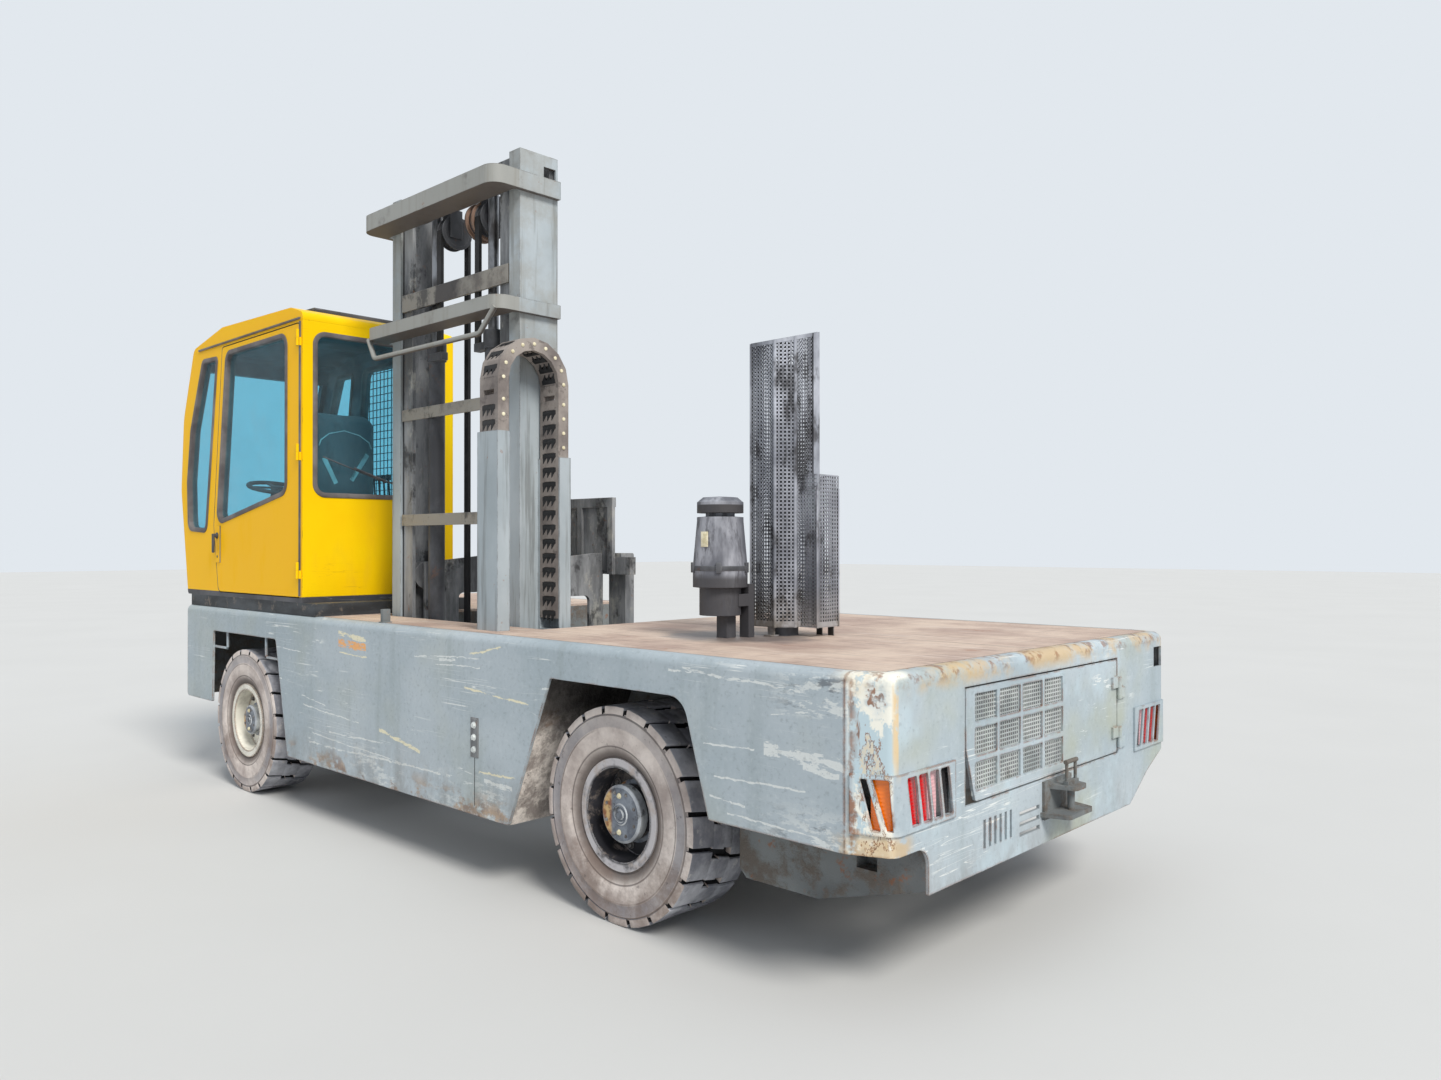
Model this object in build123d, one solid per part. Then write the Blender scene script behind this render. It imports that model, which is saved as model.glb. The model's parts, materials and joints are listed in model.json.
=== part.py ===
"""Side loader forklift: a flat deck truck with a cab at the front left corner and a lift mast
that travels sideways in a well across the deck. Sizes are in millimetres. X runs forward,
Y to the left, and the ground is at Z = 0. The origin is on the ground, under the middle."""
from build123d import *
import math
import os

os.makedirs("parts", exist_ok=True)

# Chassis
chassis_length = 5330
chassis_width = 2210
hitch_reach = 100
nose_reach = 170
side_top_z = 1050
side_plate = 12
deck_plate = 12
edge_fold = 60
edge_radius = 35
deck_seam = 4
corner_run = 143
corner_step = 60
corner_radius = 40
skirt_rear_z = 519
skirt_front_z = 484
sill_z = 290
apron_z = 369
apron_inset = 240

# Axles and wheels
rear_overhang = 1280
wheelbase = 3210
tyre_radius = 415
rear_tyre_width = 330
front_tyre_width = 270
rear_tyre_inset = 84
front_tyre_inset = 16
bead_radius = 195
bead_gap = 0.3
kingpin_inset = 360
kingpin_radius = 22
running_gap = 0.1
roller_gap = 0.3
steer_arm = 160
open_pin_gap = 1

# Well and mast
well_rear = 2080
well_front = 3560
left_strip = 350
mast_rear = 2295
mast_width = 1160
mast_depth = 220
mast_inset = 380
mast_foot_z = 420
mast_top_z = 3305
inner_top_z = 3285

# Cab, as distances from the rear face and heights above the ground
cab_rear = 3760
cab_left_inset = 20
cab_width = 930
cab_floor_z = 1130
cab_wall = 45
door_gap = 6

# Derived stations
rear_x = -(chassis_length + nose_reach - hitch_reach) / 2
front_x = rear_x + chassis_length
half_width = chassis_width / 2
deck_z = side_top_z + deck_plate
fold_z = deck_z - edge_fold
facet_run = math.hypot(corner_run, corner_step)
wheel_z = tyre_radius
rear_axle_x = rear_x + rear_overhang
front_axle_x = rear_axle_x + wheelbase
well_rear_x = rear_x + well_rear
well_front_x = rear_x + well_front
mast_rear_x = rear_x + mast_rear
mast_front_x = mast_rear_x + mast_width
mast_back_y = half_width - mast_inset
mast_fore_y = mast_back_y - mast_depth
mast_mid_y = (mast_back_y + mast_fore_y) / 2
strip_y = half_width - left_strip
cab_left_y = half_width - cab_left_inset
cab_right_y = cab_left_y - cab_width
cab_rear_x = rear_x + cab_rear
kingpin_y = half_width - kingpin_inset


def block(x0, x1, y0, y1, z0, z1):
    """Box between two corners."""
    size = (abs(x1 - x0), abs(y1 - y0), abs(z1 - z0))
    return Pos((x0 + x1) / 2, (y0 + y1) / 2, (z0 + z1) / 2) * Box(*size)


def rod(radius, start, end):
    """Round bar from one point to another."""
    run = Vector(*end) - Vector(*start)
    return Plane(origin=start, z_dir=run) * Cylinder(radius, run.length, align=(Align.CENTER, Align.CENTER, Align.MIN))


def tube(radius, bore, start, end):
    """Round tube from one point to another."""
    return rod(radius, start, end) - rod(bore, start, end)


def outline(points):
    """Flat face from (u, v, corner radius) rows."""
    face = make_face(Polyline(*[(u, v) for u, v, _ in points], close=True))
    for u, v, radius in points:
        if radius:
            corner = min(face.vertices(), key=lambda p: (p.X - u) ** 2 + (p.Y - v) ** 2)
            face = fillet([corner], radius)
    return face


def side_plate_of(points, y0, y1):
    """Plate standing in the XZ plane, from (distance forward of the rear face, z, radius) rows."""
    face = outline([(rear_x + d, z, r) for d, z, r in points])
    return Plane(origin=(0, max(y0, y1), 0), x_dir=(1, 0, 0), z_dir=(0, -1, 0)) * extrude(face, abs(y1 - y0))


def cross_plate_of(points, x0, x1):
    """Plate standing in the YZ plane, from (y, z, radius) rows."""
    face = outline(points)
    return Plane(origin=(min(x0, x1), 0, 0), x_dir=(0, 1, 0), z_dir=(1, 0, 0)) * extrude(face, abs(x1 - x0))


def level_plate_of(points, z0, z1):
    """Plate lying level, from (distance forward of the rear face, y, radius) rows."""
    face = outline([(rear_x + d, y, r) for d, y, r in points])
    return Pos(0, 0, z0) * extrude(face, z1 - z0)


def mirrored(shape):
    """The same shape on the other side of the truck."""
    return mirror(shape, about=Plane.XZ)


def spun(points, centre, outward):
    """Solid turned about a wheel's axle, from (radius, distance outward) rows."""
    face = make_face(Polyline(*points, close=True))
    wheel = revolve(face, Axis.Y)
    wheel = Pos(*centre) * (wheel if outward > 0 else mirrored(wheel))
    return wheel


def faceted_ring(rows, facets):
    """Ring about the Y axis with flat facets, from (radius, y) rows."""
    loops = []
    for radius, y in rows:
        turns = [2 * math.pi * index / facets for index in range(facets)]
        loops.append([Vector(radius * math.sin(turn), y, radius * math.cos(turn)) for turn in turns])
    faces = []
    for loop, after in zip(loops, loops[1:] + loops[:1]):
        for index in range(facets):
            step = (index + 1) % facets
            faces.append(Face(Wire.make_polygon([loop[index], loop[step], after[step], after[index]])))
    return Solid(Shell(faces))


def facet_y(distance, inset):
    """Y of the slanted face at a rear corner, moved inward by an inset."""
    return half_width - inset * facet_run / corner_run - (corner_run - distance) * corner_step / corner_run


def rear_rows(inset, reach, radius):
    """Outline of the rear end moved inward by an inset, as (distance, y, radius) rows."""
    y_reach, y_rear = facet_y(reach, inset), facet_y(inset, inset)
    return [(reach, y_reach, 0), (inset, y_rear, radius), (inset, -y_rear, radius), (reach, -y_reach, 0)]


# Wheel arches: rear lower corner, rear top, front top, front lower corner as (distance, z)
arch_top_z = 919
front_overhang = rear_overhang + wheelbase
rear_arch = {"rear": rear_overhang - 574, "top_rear": rear_overhang - 451,
             "top_front": rear_overhang + 292, "front": rear_overhang + 565}
front_arch = {"rear": front_overhang - 597, "top_rear": front_overhang - 447,
              "top_front": front_overhang + 425, "front": front_overhang + 440}


def top_fold(d0, d1):
    """Rounded top edge of a side panel, folded inward to the deck."""
    return cross_plate_of([
        (half_width, fold_z, 0), (half_width, deck_z, edge_radius), (half_width - edge_fold, deck_z, 0),
        (half_width - edge_fold, side_top_z, 0), (half_width - side_plate, side_top_z, edge_radius - side_plate),
        (half_width - side_plate, fold_z, 0)], rear_x + d0, rear_x + d1)


def left_side_panel():
    panel = side_plate_of([
        (corner_run, fold_z, 0), (chassis_length, fold_z, 0), (chassis_length, skirt_front_z, 25),
        (front_arch["front"], skirt_front_z, 10), (front_arch["top_front"], arch_top_z, 20),
        (front_arch["top_rear"], arch_top_z, 20), (front_arch["rear"], sill_z, 15),
        (rear_arch["front"], sill_z, 15), (rear_arch["top_front"], arch_top_z, 20),
        (rear_arch["top_rear"], arch_top_z, 90), (rear_arch["rear"], skirt_rear_z, 10),
        (corner_run, skirt_rear_z, 0)], half_width - side_plate, half_width)
    return panel.fuse(top_fold(corner_run, chassis_length))


def right_side_panels():
    rear = side_plate_of([
        (corner_run, fold_z, 0), (well_rear, fold_z, 0), (well_rear, sill_z, 0),
        (rear_arch["front"], sill_z, 15), (rear_arch["top_front"], arch_top_z, 20),
        (rear_arch["top_rear"], arch_top_z, 90), (rear_arch["rear"], skirt_rear_z, 10),
        (corner_run, skirt_rear_z, 0)], -half_width, side_plate - half_width)
    front = side_plate_of([
        (well_front, fold_z, 0), (chassis_length, fold_z, 0), (chassis_length, skirt_front_z, 25),
        (front_arch["front"], skirt_front_z, 10), (front_arch["top_front"], arch_top_z, 20),
        (front_arch["top_rear"], arch_top_z, 20), (front_arch["rear"], sill_z, 15),
        (well_front, sill_z, 0)], -half_width, side_plate - half_width)
    return [rear.fuse(mirrored(top_fold(corner_run, well_rear))),
            front.fuse(mirrored(top_fold(well_front, chassis_length)))]


# Rear face: the engine door opening, lamp recesses and louvres
door_left_y = half_width - 457
door_right_y = half_width - 1658
door_bottom_z = 600
door_top_z = 985
lamp_bottom_z = 597
lamp_top_z = 750
lamp_reach = 374
lamp_wrap = 110
louvre_pitch = 36
louvre_slot = 15


def folded_block(inset, reach, z0, z1, top_radius):
    """Solid rear end with its vertical corners and its top edge rounded."""
    body = level_plate_of(rear_rows(inset, reach, corner_radius - inset), z0, z1)
    rim_edges = [edge for edge in body.edges().group_by(Axis.Z)[-1] if edge.center().X < rear_x + reach - 1]
    return fillet(rim_edges, top_radius)


def rear_bulkhead():
    shell = folded_block(0, corner_run, apron_z, deck_z, edge_radius)
    shell -= folded_block(side_plate, corner_run + 50, apron_z - 5, side_top_z, edge_radius - side_plate)
    shell -= level_plate_of(rear_rows(edge_fold, corner_run + 50, 0), side_top_z - 5, deck_z + 5)
    notch = cross_plate_of([
        (half_width + 5, skirt_rear_z, 0), (half_width - apron_inset, skirt_rear_z, 60),
        (half_width - apron_inset, apron_z - 5, 0), (half_width + 5, apron_z - 5, 0)], rear_x - 5, rear_x + 200)
    bevel = cross_plate_of([
        (-half_width - 5, 600, 0), (60 - half_width, 560, 40), (240 - half_width, 480, 60),
        (430 - half_width, apron_z - 5, 0), (-half_width - 5, apron_z - 5, 0)], rear_x - 5, rear_x + 200)
    door = block(rear_x - 5, rear_x + 30, door_right_y, door_left_y, door_bottom_z, door_top_z)
    lamp_cut = block(rear_x - 5, rear_x + lamp_wrap, half_width - lamp_reach, half_width + 5, lamp_bottom_z, lamp_top_z)
    hole = block(rear_x - 5, rear_x + 60, 75 - half_width, 165 - half_width, 915, 1000)
    plate = shell - notch - bevel - door - lamp_cut - mirrored(lamp_cut) - hole
    slots = []
    for index in range(6):
        y = half_width - 575 - louvre_pitch * index
        slots.append(block(rear_x - 5, rear_x + 30, y - louvre_slot, y, 440, 535))
    for index in range(3):
        z = 428 + louvre_pitch * index
        slots.append(block(rear_x - 5, rear_x + 30, half_width - 975, half_width - 825, z, z + louvre_slot))
    plate = plate.cut(*slots)
    for z in engine_hinge_heights:
        plate = plate.fuse(hinge_knuckle(engine_hinge_x, door_right_y, z, rear_x, door_right_y - 60, True))
    return plate


def deck():
    """Loose plates between the folded edges, around the well."""
    inset = edge_fold + deck_seam
    side_y = half_width - inset
    join = corner_run + inset * (facet_run - corner_run) / corner_step
    rear_y = facet_y(inset, inset)
    half_seam = deck_seam / 2
    rear_left = [(join, side_y, 0), (inset, rear_y, 12), (inset, deck_split_y + half_seam, 0),
                 (well_rear, deck_split_y + half_seam, 0), (well_rear, side_y, 0)]
    rear_right = [(join, -side_y, 0), (inset, -rear_y, 12), (inset, deck_split_y - half_seam, 0),
                  (well_rear, deck_split_y - half_seam, 0), (well_rear, -side_y, 0)]
    strip = [(well_rear + deck_seam, strip_y, 0), (well_front - deck_seam, strip_y, 0),
             (well_front - deck_seam, side_y, 0), (well_rear + deck_seam, side_y, 0)]
    front_split_y = cab_right_y - 60
    front_left = [(well_front, front_split_y + half_seam, 0), (chassis_length, front_split_y + half_seam, 0),
                  (chassis_length, side_y, 0), (well_front, side_y, 0)]
    front_right = [(well_front, -side_y, 0), (chassis_length, -side_y, 0),
                   (chassis_length, front_split_y - half_seam, 0), (well_front, front_split_y - half_seam, 0)]
    return [level_plate_of(rows, side_top_z, deck_z) for rows in (rear_left, rear_right, strip, front_left, front_right)]


# Chassis frame, all of welded plate
frame_plate = 12
liner_gap = 56
rear_beam_y = half_width - rear_tyre_inset - rear_tyre_width - liner_gap
front_beam_y = kingpin_y - 280
deck_split_y = 40
tank_top_z = 512
tank_bottom_z = 260
beam_bottom_z = 500
front_beam_bottom_z = 560
rail_depth = 70
rail_height = 120
rail_z = 345
rail_wall = 10
roller_radius = rail_height / 2 - rail_wall - roller_gap
pivot_z = 560
pivot_radius = 35
inner_skin = half_width - side_plate


def arch_liner(arch, inner_y, rear_leg):
    """Plate bent round the inside of a wheel arch."""
    rise = arch_top_z + frame_plate
    if rear_leg:
        rows = [(arch["rear"], skirt_rear_z, 0), (arch["top_rear"], arch_top_z, 80),
                (arch["top_front"], arch_top_z, 15), (arch["front"], sill_z, 0),
                (arch["front"] + frame_plate, sill_z, 0), (arch["top_front"] + 8, rise, 15),
                (arch["top_rear"] - 8, rise, 92), (arch["rear"] - frame_plate, skirt_rear_z, 0)]
    else:
        rows = [(arch["rear"], sill_z, 0), (arch["top_rear"], arch_top_z, 15), (arch["top_front"], arch_top_z, 0),
                (arch["top_front"], rise, 0), (arch["top_rear"] - 8, rise, 15),
                (arch["rear"] - frame_plate, sill_z, 0)]
    return side_plate_of(rows, inner_y, inner_skin)


def arch_liners():
    liners = []
    for arch, inner_y, rear_leg in ((rear_arch, rear_beam_y, True), (front_arch, front_beam_y, False)):
        liner = arch_liner(arch, inner_y, rear_leg)
        liners += [liner, mirrored(liner)]
    return liners


def corner_tank():
    """Tank under the rear left corner, with its sloping bottom and filler recess."""
    y0, y1 = rear_beam_y, half_width - apron_inset
    tank = side_plate_of([
        (side_plate, tank_top_z, 0), (side_plate, apron_z + 8, 0), (427, tank_bottom_z, 30),
        (750, tank_bottom_z, 0), (780, tank_bottom_z + 30, 0), (780, tank_top_z, 0)], y0, y1)
    return tank - block(rear_x + 190, rear_x + 270, y1 - 60, y1 + 5, 400, 450)


def chassis_frame():
    rear_beam = block(rear_x + side_plate, well_rear_x - frame_plate, rear_beam_y - frame_plate, rear_beam_y,
                      beam_bottom_z, side_top_z)
    front_beam = block(well_front_x + frame_plate, front_x - frame_plate, front_beam_y - frame_plate,
                       front_beam_y, front_beam_bottom_z, side_top_z)
    pieces = [corner_tank()]
    for piece in (rear_beam, front_beam):
        pieces += [piece, mirrored(piece)]
    # Walls of the well, the left beam between them and its floor
    pieces.append(block(well_rear_x - frame_plate, well_rear_x, -inner_skin, inner_skin, sill_z, side_top_z))
    pieces.append(block(well_front_x, well_front_x + frame_plate, -inner_skin, inner_skin, sill_z, side_top_z))
    pieces.append(block(well_rear_x, well_front_x, strip_y, strip_y + frame_plate, sill_z, side_top_z))
    pieces.append(block(well_rear_x, well_front_x, strip_y, inner_skin, sill_z, sill_z + frame_plate))
    # Cross members under the engine, behind the axle and over the steering axle
    for d0, d1, z0, z1 in ((330, 410, 440, 520), (960, 1040, 440, 520), (1760, 1840, 520, 620)):
        pieces.append(block(rear_x + d0, rear_x + d1, -rear_beam_y, rear_beam_y, z0, z1))
    pieces.append(block(front_axle_x - 130, front_axle_x + 130, -front_beam_y, front_beam_y, 620, 700))
    for side in (-1, 1):
        x0 = front_axle_x + side * 95
        bracket = block(x0, x0 + side * 20, -90, 90, pivot_z - 60, 640)
        pieces.append(bracket - rod(pivot_radius + running_gap, (x0 - 60, 0, pivot_z), (x0 + 60, 0, pivot_z)))
    # Front face plate between the side panels
    pieces.append(block(front_x - frame_plate, front_x, -inner_skin, inner_skin, skirt_front_z, side_top_z))
    frame = pieces[0].fuse(*pieces[1:])
    # Corners cut off under the folded edges
    cut = edge_radius - 5
    side_cut = cross_plate_of([(inner_skin + 5, side_top_z + 5, 0), (inner_skin - cut - 5, side_top_z + 5, 0),
                               (inner_skin + 5, side_top_z - cut - 5, 0)], rear_x, front_x + 5)
    rear_cut = side_plate_of([(side_plate - 5, side_top_z + 5, 0), (side_plate + cut + 5, side_top_z + 5, 0),
                              (side_plate - 5, side_top_z - cut - 5, 0)], -half_width, half_width)
    return frame - side_cut - mirrored(side_cut) - rear_cut


def mast_rails():
    """Channels along both walls of the well, open towards each other."""
    y0, y1 = 60 - half_width, strip_y - 5
    rear = block(well_rear_x, well_rear_x + rail_depth, y0, y1, rail_z, rail_z + rail_height)
    rear -= block(well_rear_x + rail_wall, well_rear_x + rail_depth + 5, y0 - 5, y1 + 5,
                  rail_z + rail_wall, rail_z + rail_height - rail_wall)
    front = block(well_front_x - rail_depth, well_front_x, y0, y1, rail_z, rail_z + rail_height)
    front -= block(well_front_x - rail_depth - 5, well_front_x - rail_wall, y0 - 5, y1 + 5,
                   rail_z + rail_wall, rail_z + rail_height - rail_wall)
    return [rear, front]


def engine_block():
    return block(rear_x + 300, rear_x + 1060, -330, 330, 520, 990)


# Axles
axle_radius = 75
hub_flange_radius = 110
spindle_radius = 45
rear_wheel_y = half_width - rear_tyre_inset - rear_tyre_width / 2
front_wheel_y = half_width - front_tyre_inset - front_tyre_width / 2


def rear_axle():
    x, z = rear_axle_x, wheel_z
    pieces = [rod(axle_radius, (x, -rear_beam_y - 20, z), (x, rear_beam_y + 20, z))]
    pieces.append(rod(155, (x, -95, z), (x, 95, z)))
    pieces.append(rod(60, (x, 0, z), (x + 240, 0, z)))
    for side in (-1, 1):
        beam = side * (rear_beam_y - frame_plate / 2)
        pieces.append(block(x - 90, x + 90, beam - 35, beam + 35, z - 95, beam_bottom_z))
        pieces.append(rod(hub_flange_radius, (x, side * (rear_beam_y + 20), z), (x, side * (rear_beam_y + 60), z)))
        pieces.append(rod(spindle_radius, (x, side * (rear_beam_y + 60), z), (x, side * (rear_wheel_y + 50), z)))
    return pieces[0].fuse(*pieces[1:])


def front_axle():
    x, z = front_axle_x, wheel_z
    beam = block(x - 75, x + 75, -kingpin_y, kingpin_y, z - 65, z + 65)
    lug = block(x - 90, x + 90, -60, 60, z + 60, pivot_z).fuse(rod(60, (x - 90, 0, pivot_z), (x + 90, 0, pivot_z)))
    pin = rod(pivot_radius, (x - 135, 0, pivot_z), (x + 135, 0, pivot_z))
    pieces = [lug, pin, rod(50, (x - 128, -230, z), (x - 128, 230, z)), block(x - 128, x - 60, -60, 60, z - 30, z + 30)]
    for side in (-1, 1):
        y = side * kingpin_y
        pieces.append(rod(55, (x, y, z - 65), (x, y, z + 65)))
    beam = beam.fuse(*pieces)
    for side in (-1, 1):
        y = side * kingpin_y
        beam -= rod(kingpin_radius + running_gap, (x, y, z - 80), (x, y, z + 80))
    return beam


def knuckle(side):
    """Steered knuckle with its king pin, spindle and steering arm."""
    x, z = front_axle_x, wheel_z
    y = side * kingpin_y
    web = side * (kingpin_y + 60)
    pieces = [block(x - 60, x + 60, web, web + side * 25, z - 95, z + 95)]
    for z0 in (z - 95, z + 70):
        pieces.append(rod(50, (x, y, z0), (x, y, z0 + 25)))
        pieces.append(block(x - 50, x + 50, y, web, z0, z0 + 25))
    pieces.append(rod(kingpin_radius, (x, y, z - 95), (x, y, z + 95)))
    pieces.append(rod(40, (x, web, z), (x, side * (front_wheel_y + 40), z)))
    pieces.append(block(x - steer_arm, x, y - 20, y + 20, z - 95, z - 70))
    pieces.append(rod(30, (x - steer_arm, y, z - 95), (x - steer_arm, y, z - 70)))
    body = pieces[0].fuse(*pieces[1:])
    gap = running_gap if side > 0 else open_pin_gap
    return body - rod(12 + gap, (x - steer_arm, y, z - 120), (x - steer_arm, y, z))


def tie_rod():
    x, z = front_axle_x - steer_arm, wheel_z - 115
    pieces = [rod(16, (x, -kingpin_y, z), (x, kingpin_y, z))]
    for side in (-1, 1):
        y = side * kingpin_y
        pieces.append(rod(28, (x, y, z - 18), (x, y, z + 18)))
        pieces.append(rod(12, (x, y, z), (x, y, z + 46)))
    return pieces[0].fuse(*pieces[1:])


# Wheels: half widths at the bead, and the hub's reach inward and outward
tyre_facets = 28
lug_count = 20
lug_groove = 26
lug_length = 80
lug_depth = 26


def rim(centre_y, side, half_bead, hub_in, hub_out, hub_radius, bore):
    flange = 214
    rows = [(0, hub_out - 45), (0, hub_out), (hub_radius - 25, hub_out), (hub_radius, hub_out - 20),
            (hub_radius, 38), (178, 38), (178, half_bead + 10), (flange, half_bead + 10),
            (flange, half_bead + 1), (bead_radius - bead_gap, half_bead + 1),
            (bead_radius - bead_gap, -half_bead - 1), (flange, -half_bead - 1), (flange, -half_bead - 10),
            (178, -half_bead - 10), (178, 14), (hub_radius, 14), (hub_radius, -hub_in), (bore, -hub_in),
            (bore, hub_out - 45)]
    x = rear_axle_x if centre_y == rear_wheel_y else front_axle_x
    return spun(rows, (x, side * centre_y, wheel_z), side)


def tyre_body(width, half_bead):
    """Tyre about the Y axis, its tread cut into lugs along both shoulders."""
    half = width / 2
    fit = bead_radius / math.cos(math.pi / tyre_facets) + 0.1
    rows = [(fit, -half_bead), (fit, half_bead), (219, half_bead), (275, half), (386, half), (tyre_radius, half - 28)]
    rows += [(r, -y) for r, y in reversed(rows[2:])]
    body = faceted_ring(rows, tyre_facets)
    grooves = []
    for index in range(lug_count):
        for flank in (-1, 1):
            angle = 360 / lug_count * (index + (0.25 if flank > 0 else -0.25))
            groove = Box(lug_groove, lug_length, lug_depth * 2)
            groove = Pos(0, flank * (half - lug_length / 2 + 8), tyre_radius) * Rot(0, 0, flank * 22) * groove
            grooves.append(Rot(0, angle, 0) * groove)
    return body.cut(*grooves)


def tyre(body, centre_y, side):
    x = rear_axle_x if centre_y == rear_wheel_y else front_axle_x
    return Pos(x, side * centre_y, wheel_z) * body


# Tow hitch on the rear apron
hitch_pin_x = rear_x - 58
hitch_pin_radius = 13


def tow_hitch():
    pieces = [block(rear_x - 10, rear_x, -110, 110, 455, 592)]
    for z0, half in ((562, 75), (468, 125)):
        pieces.append(level_plate_of([(0, half, 0), (-hitch_reach, half - 30, 22), (-hitch_reach, 30 - half, 22),
                                      (0, -half, 0)], z0, z0 + 16))
    # Drop pin with the posts of its loop handle
    pieces.append(rod(hitch_pin_radius, (hitch_pin_x, 0, 450), (hitch_pin_x, 0, 590)))
    pieces.append(block(hitch_pin_x - 9, hitch_pin_x + 9, -45, 45, 578, 592))
    for y in (-35, 35):
        pieces.append(rod(6, (hitch_pin_x, y, 585), (hitch_pin_x, y, 660)))
    pieces.append(rod(8, (hitch_pin_x, -45, 660), (hitch_pin_x, 45, 660)))
    return pieces[0].fuse(*pieces[1:])


guard_plate = 8
lamp_bars = 4
lamp_bar_pitch = 62
lamp_bar_width = 13
lamp_bar_lean = 28


def lamp_guards():
    """Frame and slanted bars over the lamps, wrapped round each rear corner."""
    edge = 14
    y_in, z0, z1 = half_width - lamp_reach, lamp_bottom_z, lamp_top_z
    guard = level_plate_of(rear_rows(-guard_plate, lamp_wrap + edge, corner_radius + guard_plate), z0 - edge, z1 + edge)
    guard -= level_plate_of(rear_rows(0, lamp_wrap + 2 * edge, corner_radius), z0 - 2 * edge, z1 + 2 * edge)
    guard &= block(rear_x - 20, rear_x + lamp_wrap + edge, y_in - edge, half_width + 50, z0 - edge, z1 + edge)
    openings = []
    for index in range(lamp_bars):
        low = y_in + lamp_bar_pitch * index
        high = low + lamp_bar_pitch - lamp_bar_width
        rows = [(low, z0, 6), (high, z0, 6), (high + lamp_bar_lean, z1, 6), (low + lamp_bar_lean, z1, 6)]
        openings.append(cross_plate_of(rows, rear_x - 20, rear_x + 20))
    for rows in ([(62, z0, 0), (35, z0, 6), (77, z1, 6), (98, z1, 6)],
                 [(22, z0, 6), (4, z0, 0), (14, z1, 6), (64, z1, 6)]):
        openings.append(side_plate_of(rows, half_width - 150, half_width + 50))
    guard = guard.cut(*openings)
    return [guard, mirrored(guard)]


def lamps():
    """Lamp cluster behind each guard and two head lamps in the front face."""
    solids = []
    for side in (-1, 1):
        y_in, y_out = half_width - lamp_reach, half_width - 95
        case = level_plate_of(rear_rows(side_plate, lamp_wrap + 10, corner_radius - side_plate),
                              lamp_bottom_z - 15, lamp_top_z + 15)
        case &= block(rear_x, rear_x + 75, y_in - 20, half_width, lamp_bottom_z - 15, lamp_top_z + 15)
        lens = block(rear_x + 14, rear_x + 45, y_in + 62, y_out, lamp_bottom_z + 8, lamp_top_z - 12)
        cluster = case.fuse(lens)
        solids.append(cluster if side > 0 else mirrored(cluster))
        solids.append(rod(85, (front_x, side * 820, 760), (front_x + 35, side * 820, 760)))
    return solids


# Deck equipment
cleaner_x = rear_x + 1218
cleaner_y = half_width - 603
post_reach = 25
stack_x = rear_x + 1110
stack_y = half_width - 885
guard_foot_z = deck_z + 42
guard_sheet = 8
second_guard_z = 1738


def air_cleaner():
    """Intake cleaner with its domed cap, standing on an offset post."""
    rows = [(0, 93), (86, 93), (86, 205), (113, 208), (113, 290), (96, 480), (96, 495), (60, 498), (60, 512),
            (96, 512), (96, 556), (72, 576), (0, 581)]
    face = make_face(Polyline(*[(radius, deck_z + rise) for radius, rise in rows], close=True))
    body = Pos(cleaner_x, cleaner_y, 0) * revolve(Plane.XZ * face, Axis.Z)
    x, y = cleaner_x - 0.73 * post_reach, cleaner_y - 0.68 * post_reach
    post = block(x - 28, x + 28, y - 28, y + 28, deck_z, deck_z + 100)
    strut = block(x - 70, x - 20, y - 95, y - 60, deck_z, deck_z + 220)
    tie = block(x - 70, x - 20, y - 95, y, deck_z + 130, deck_z + 180)
    return body.fuse(post, strut, tie)


def exhaust_stack():
    x, y = stack_x, stack_y
    pipe = rod(45, (x, y, deck_z + 40), (x, y, 2200))
    foot = rod(60, (x, y, deck_z), (x, y, deck_z + 40))
    return pipe.fuse(foot)


mesh_pitch = 96
mesh_bar = 6


def guard_openings(x0, x1, y0, y1, z0, z1, across_x):
    """Rows of mesh openings cut through a guard along X or along Y."""
    cuts = []
    low, high = (y0, y1) if across_x else (x0, x1)
    pitch_u = (high - low) / 3
    rows = int((z1 - z0) / mesh_pitch)
    for column in range(3):
        u = low + pitch_u * column
        for row in range(rows):
            z = z0 + mesh_pitch * row
            if across_x:
                cuts.append(block(x0 - 20, x1 + 20, u + mesh_bar, u + pitch_u - mesh_bar, z, z + mesh_pitch - 2 * mesh_bar))
            else:
                cuts.append(block(u + mesh_bar, u + pitch_u - mesh_bar, y0 - 20, y1 + 20, z, z + mesh_pitch - 2 * mesh_bar))
    return cuts


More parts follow.
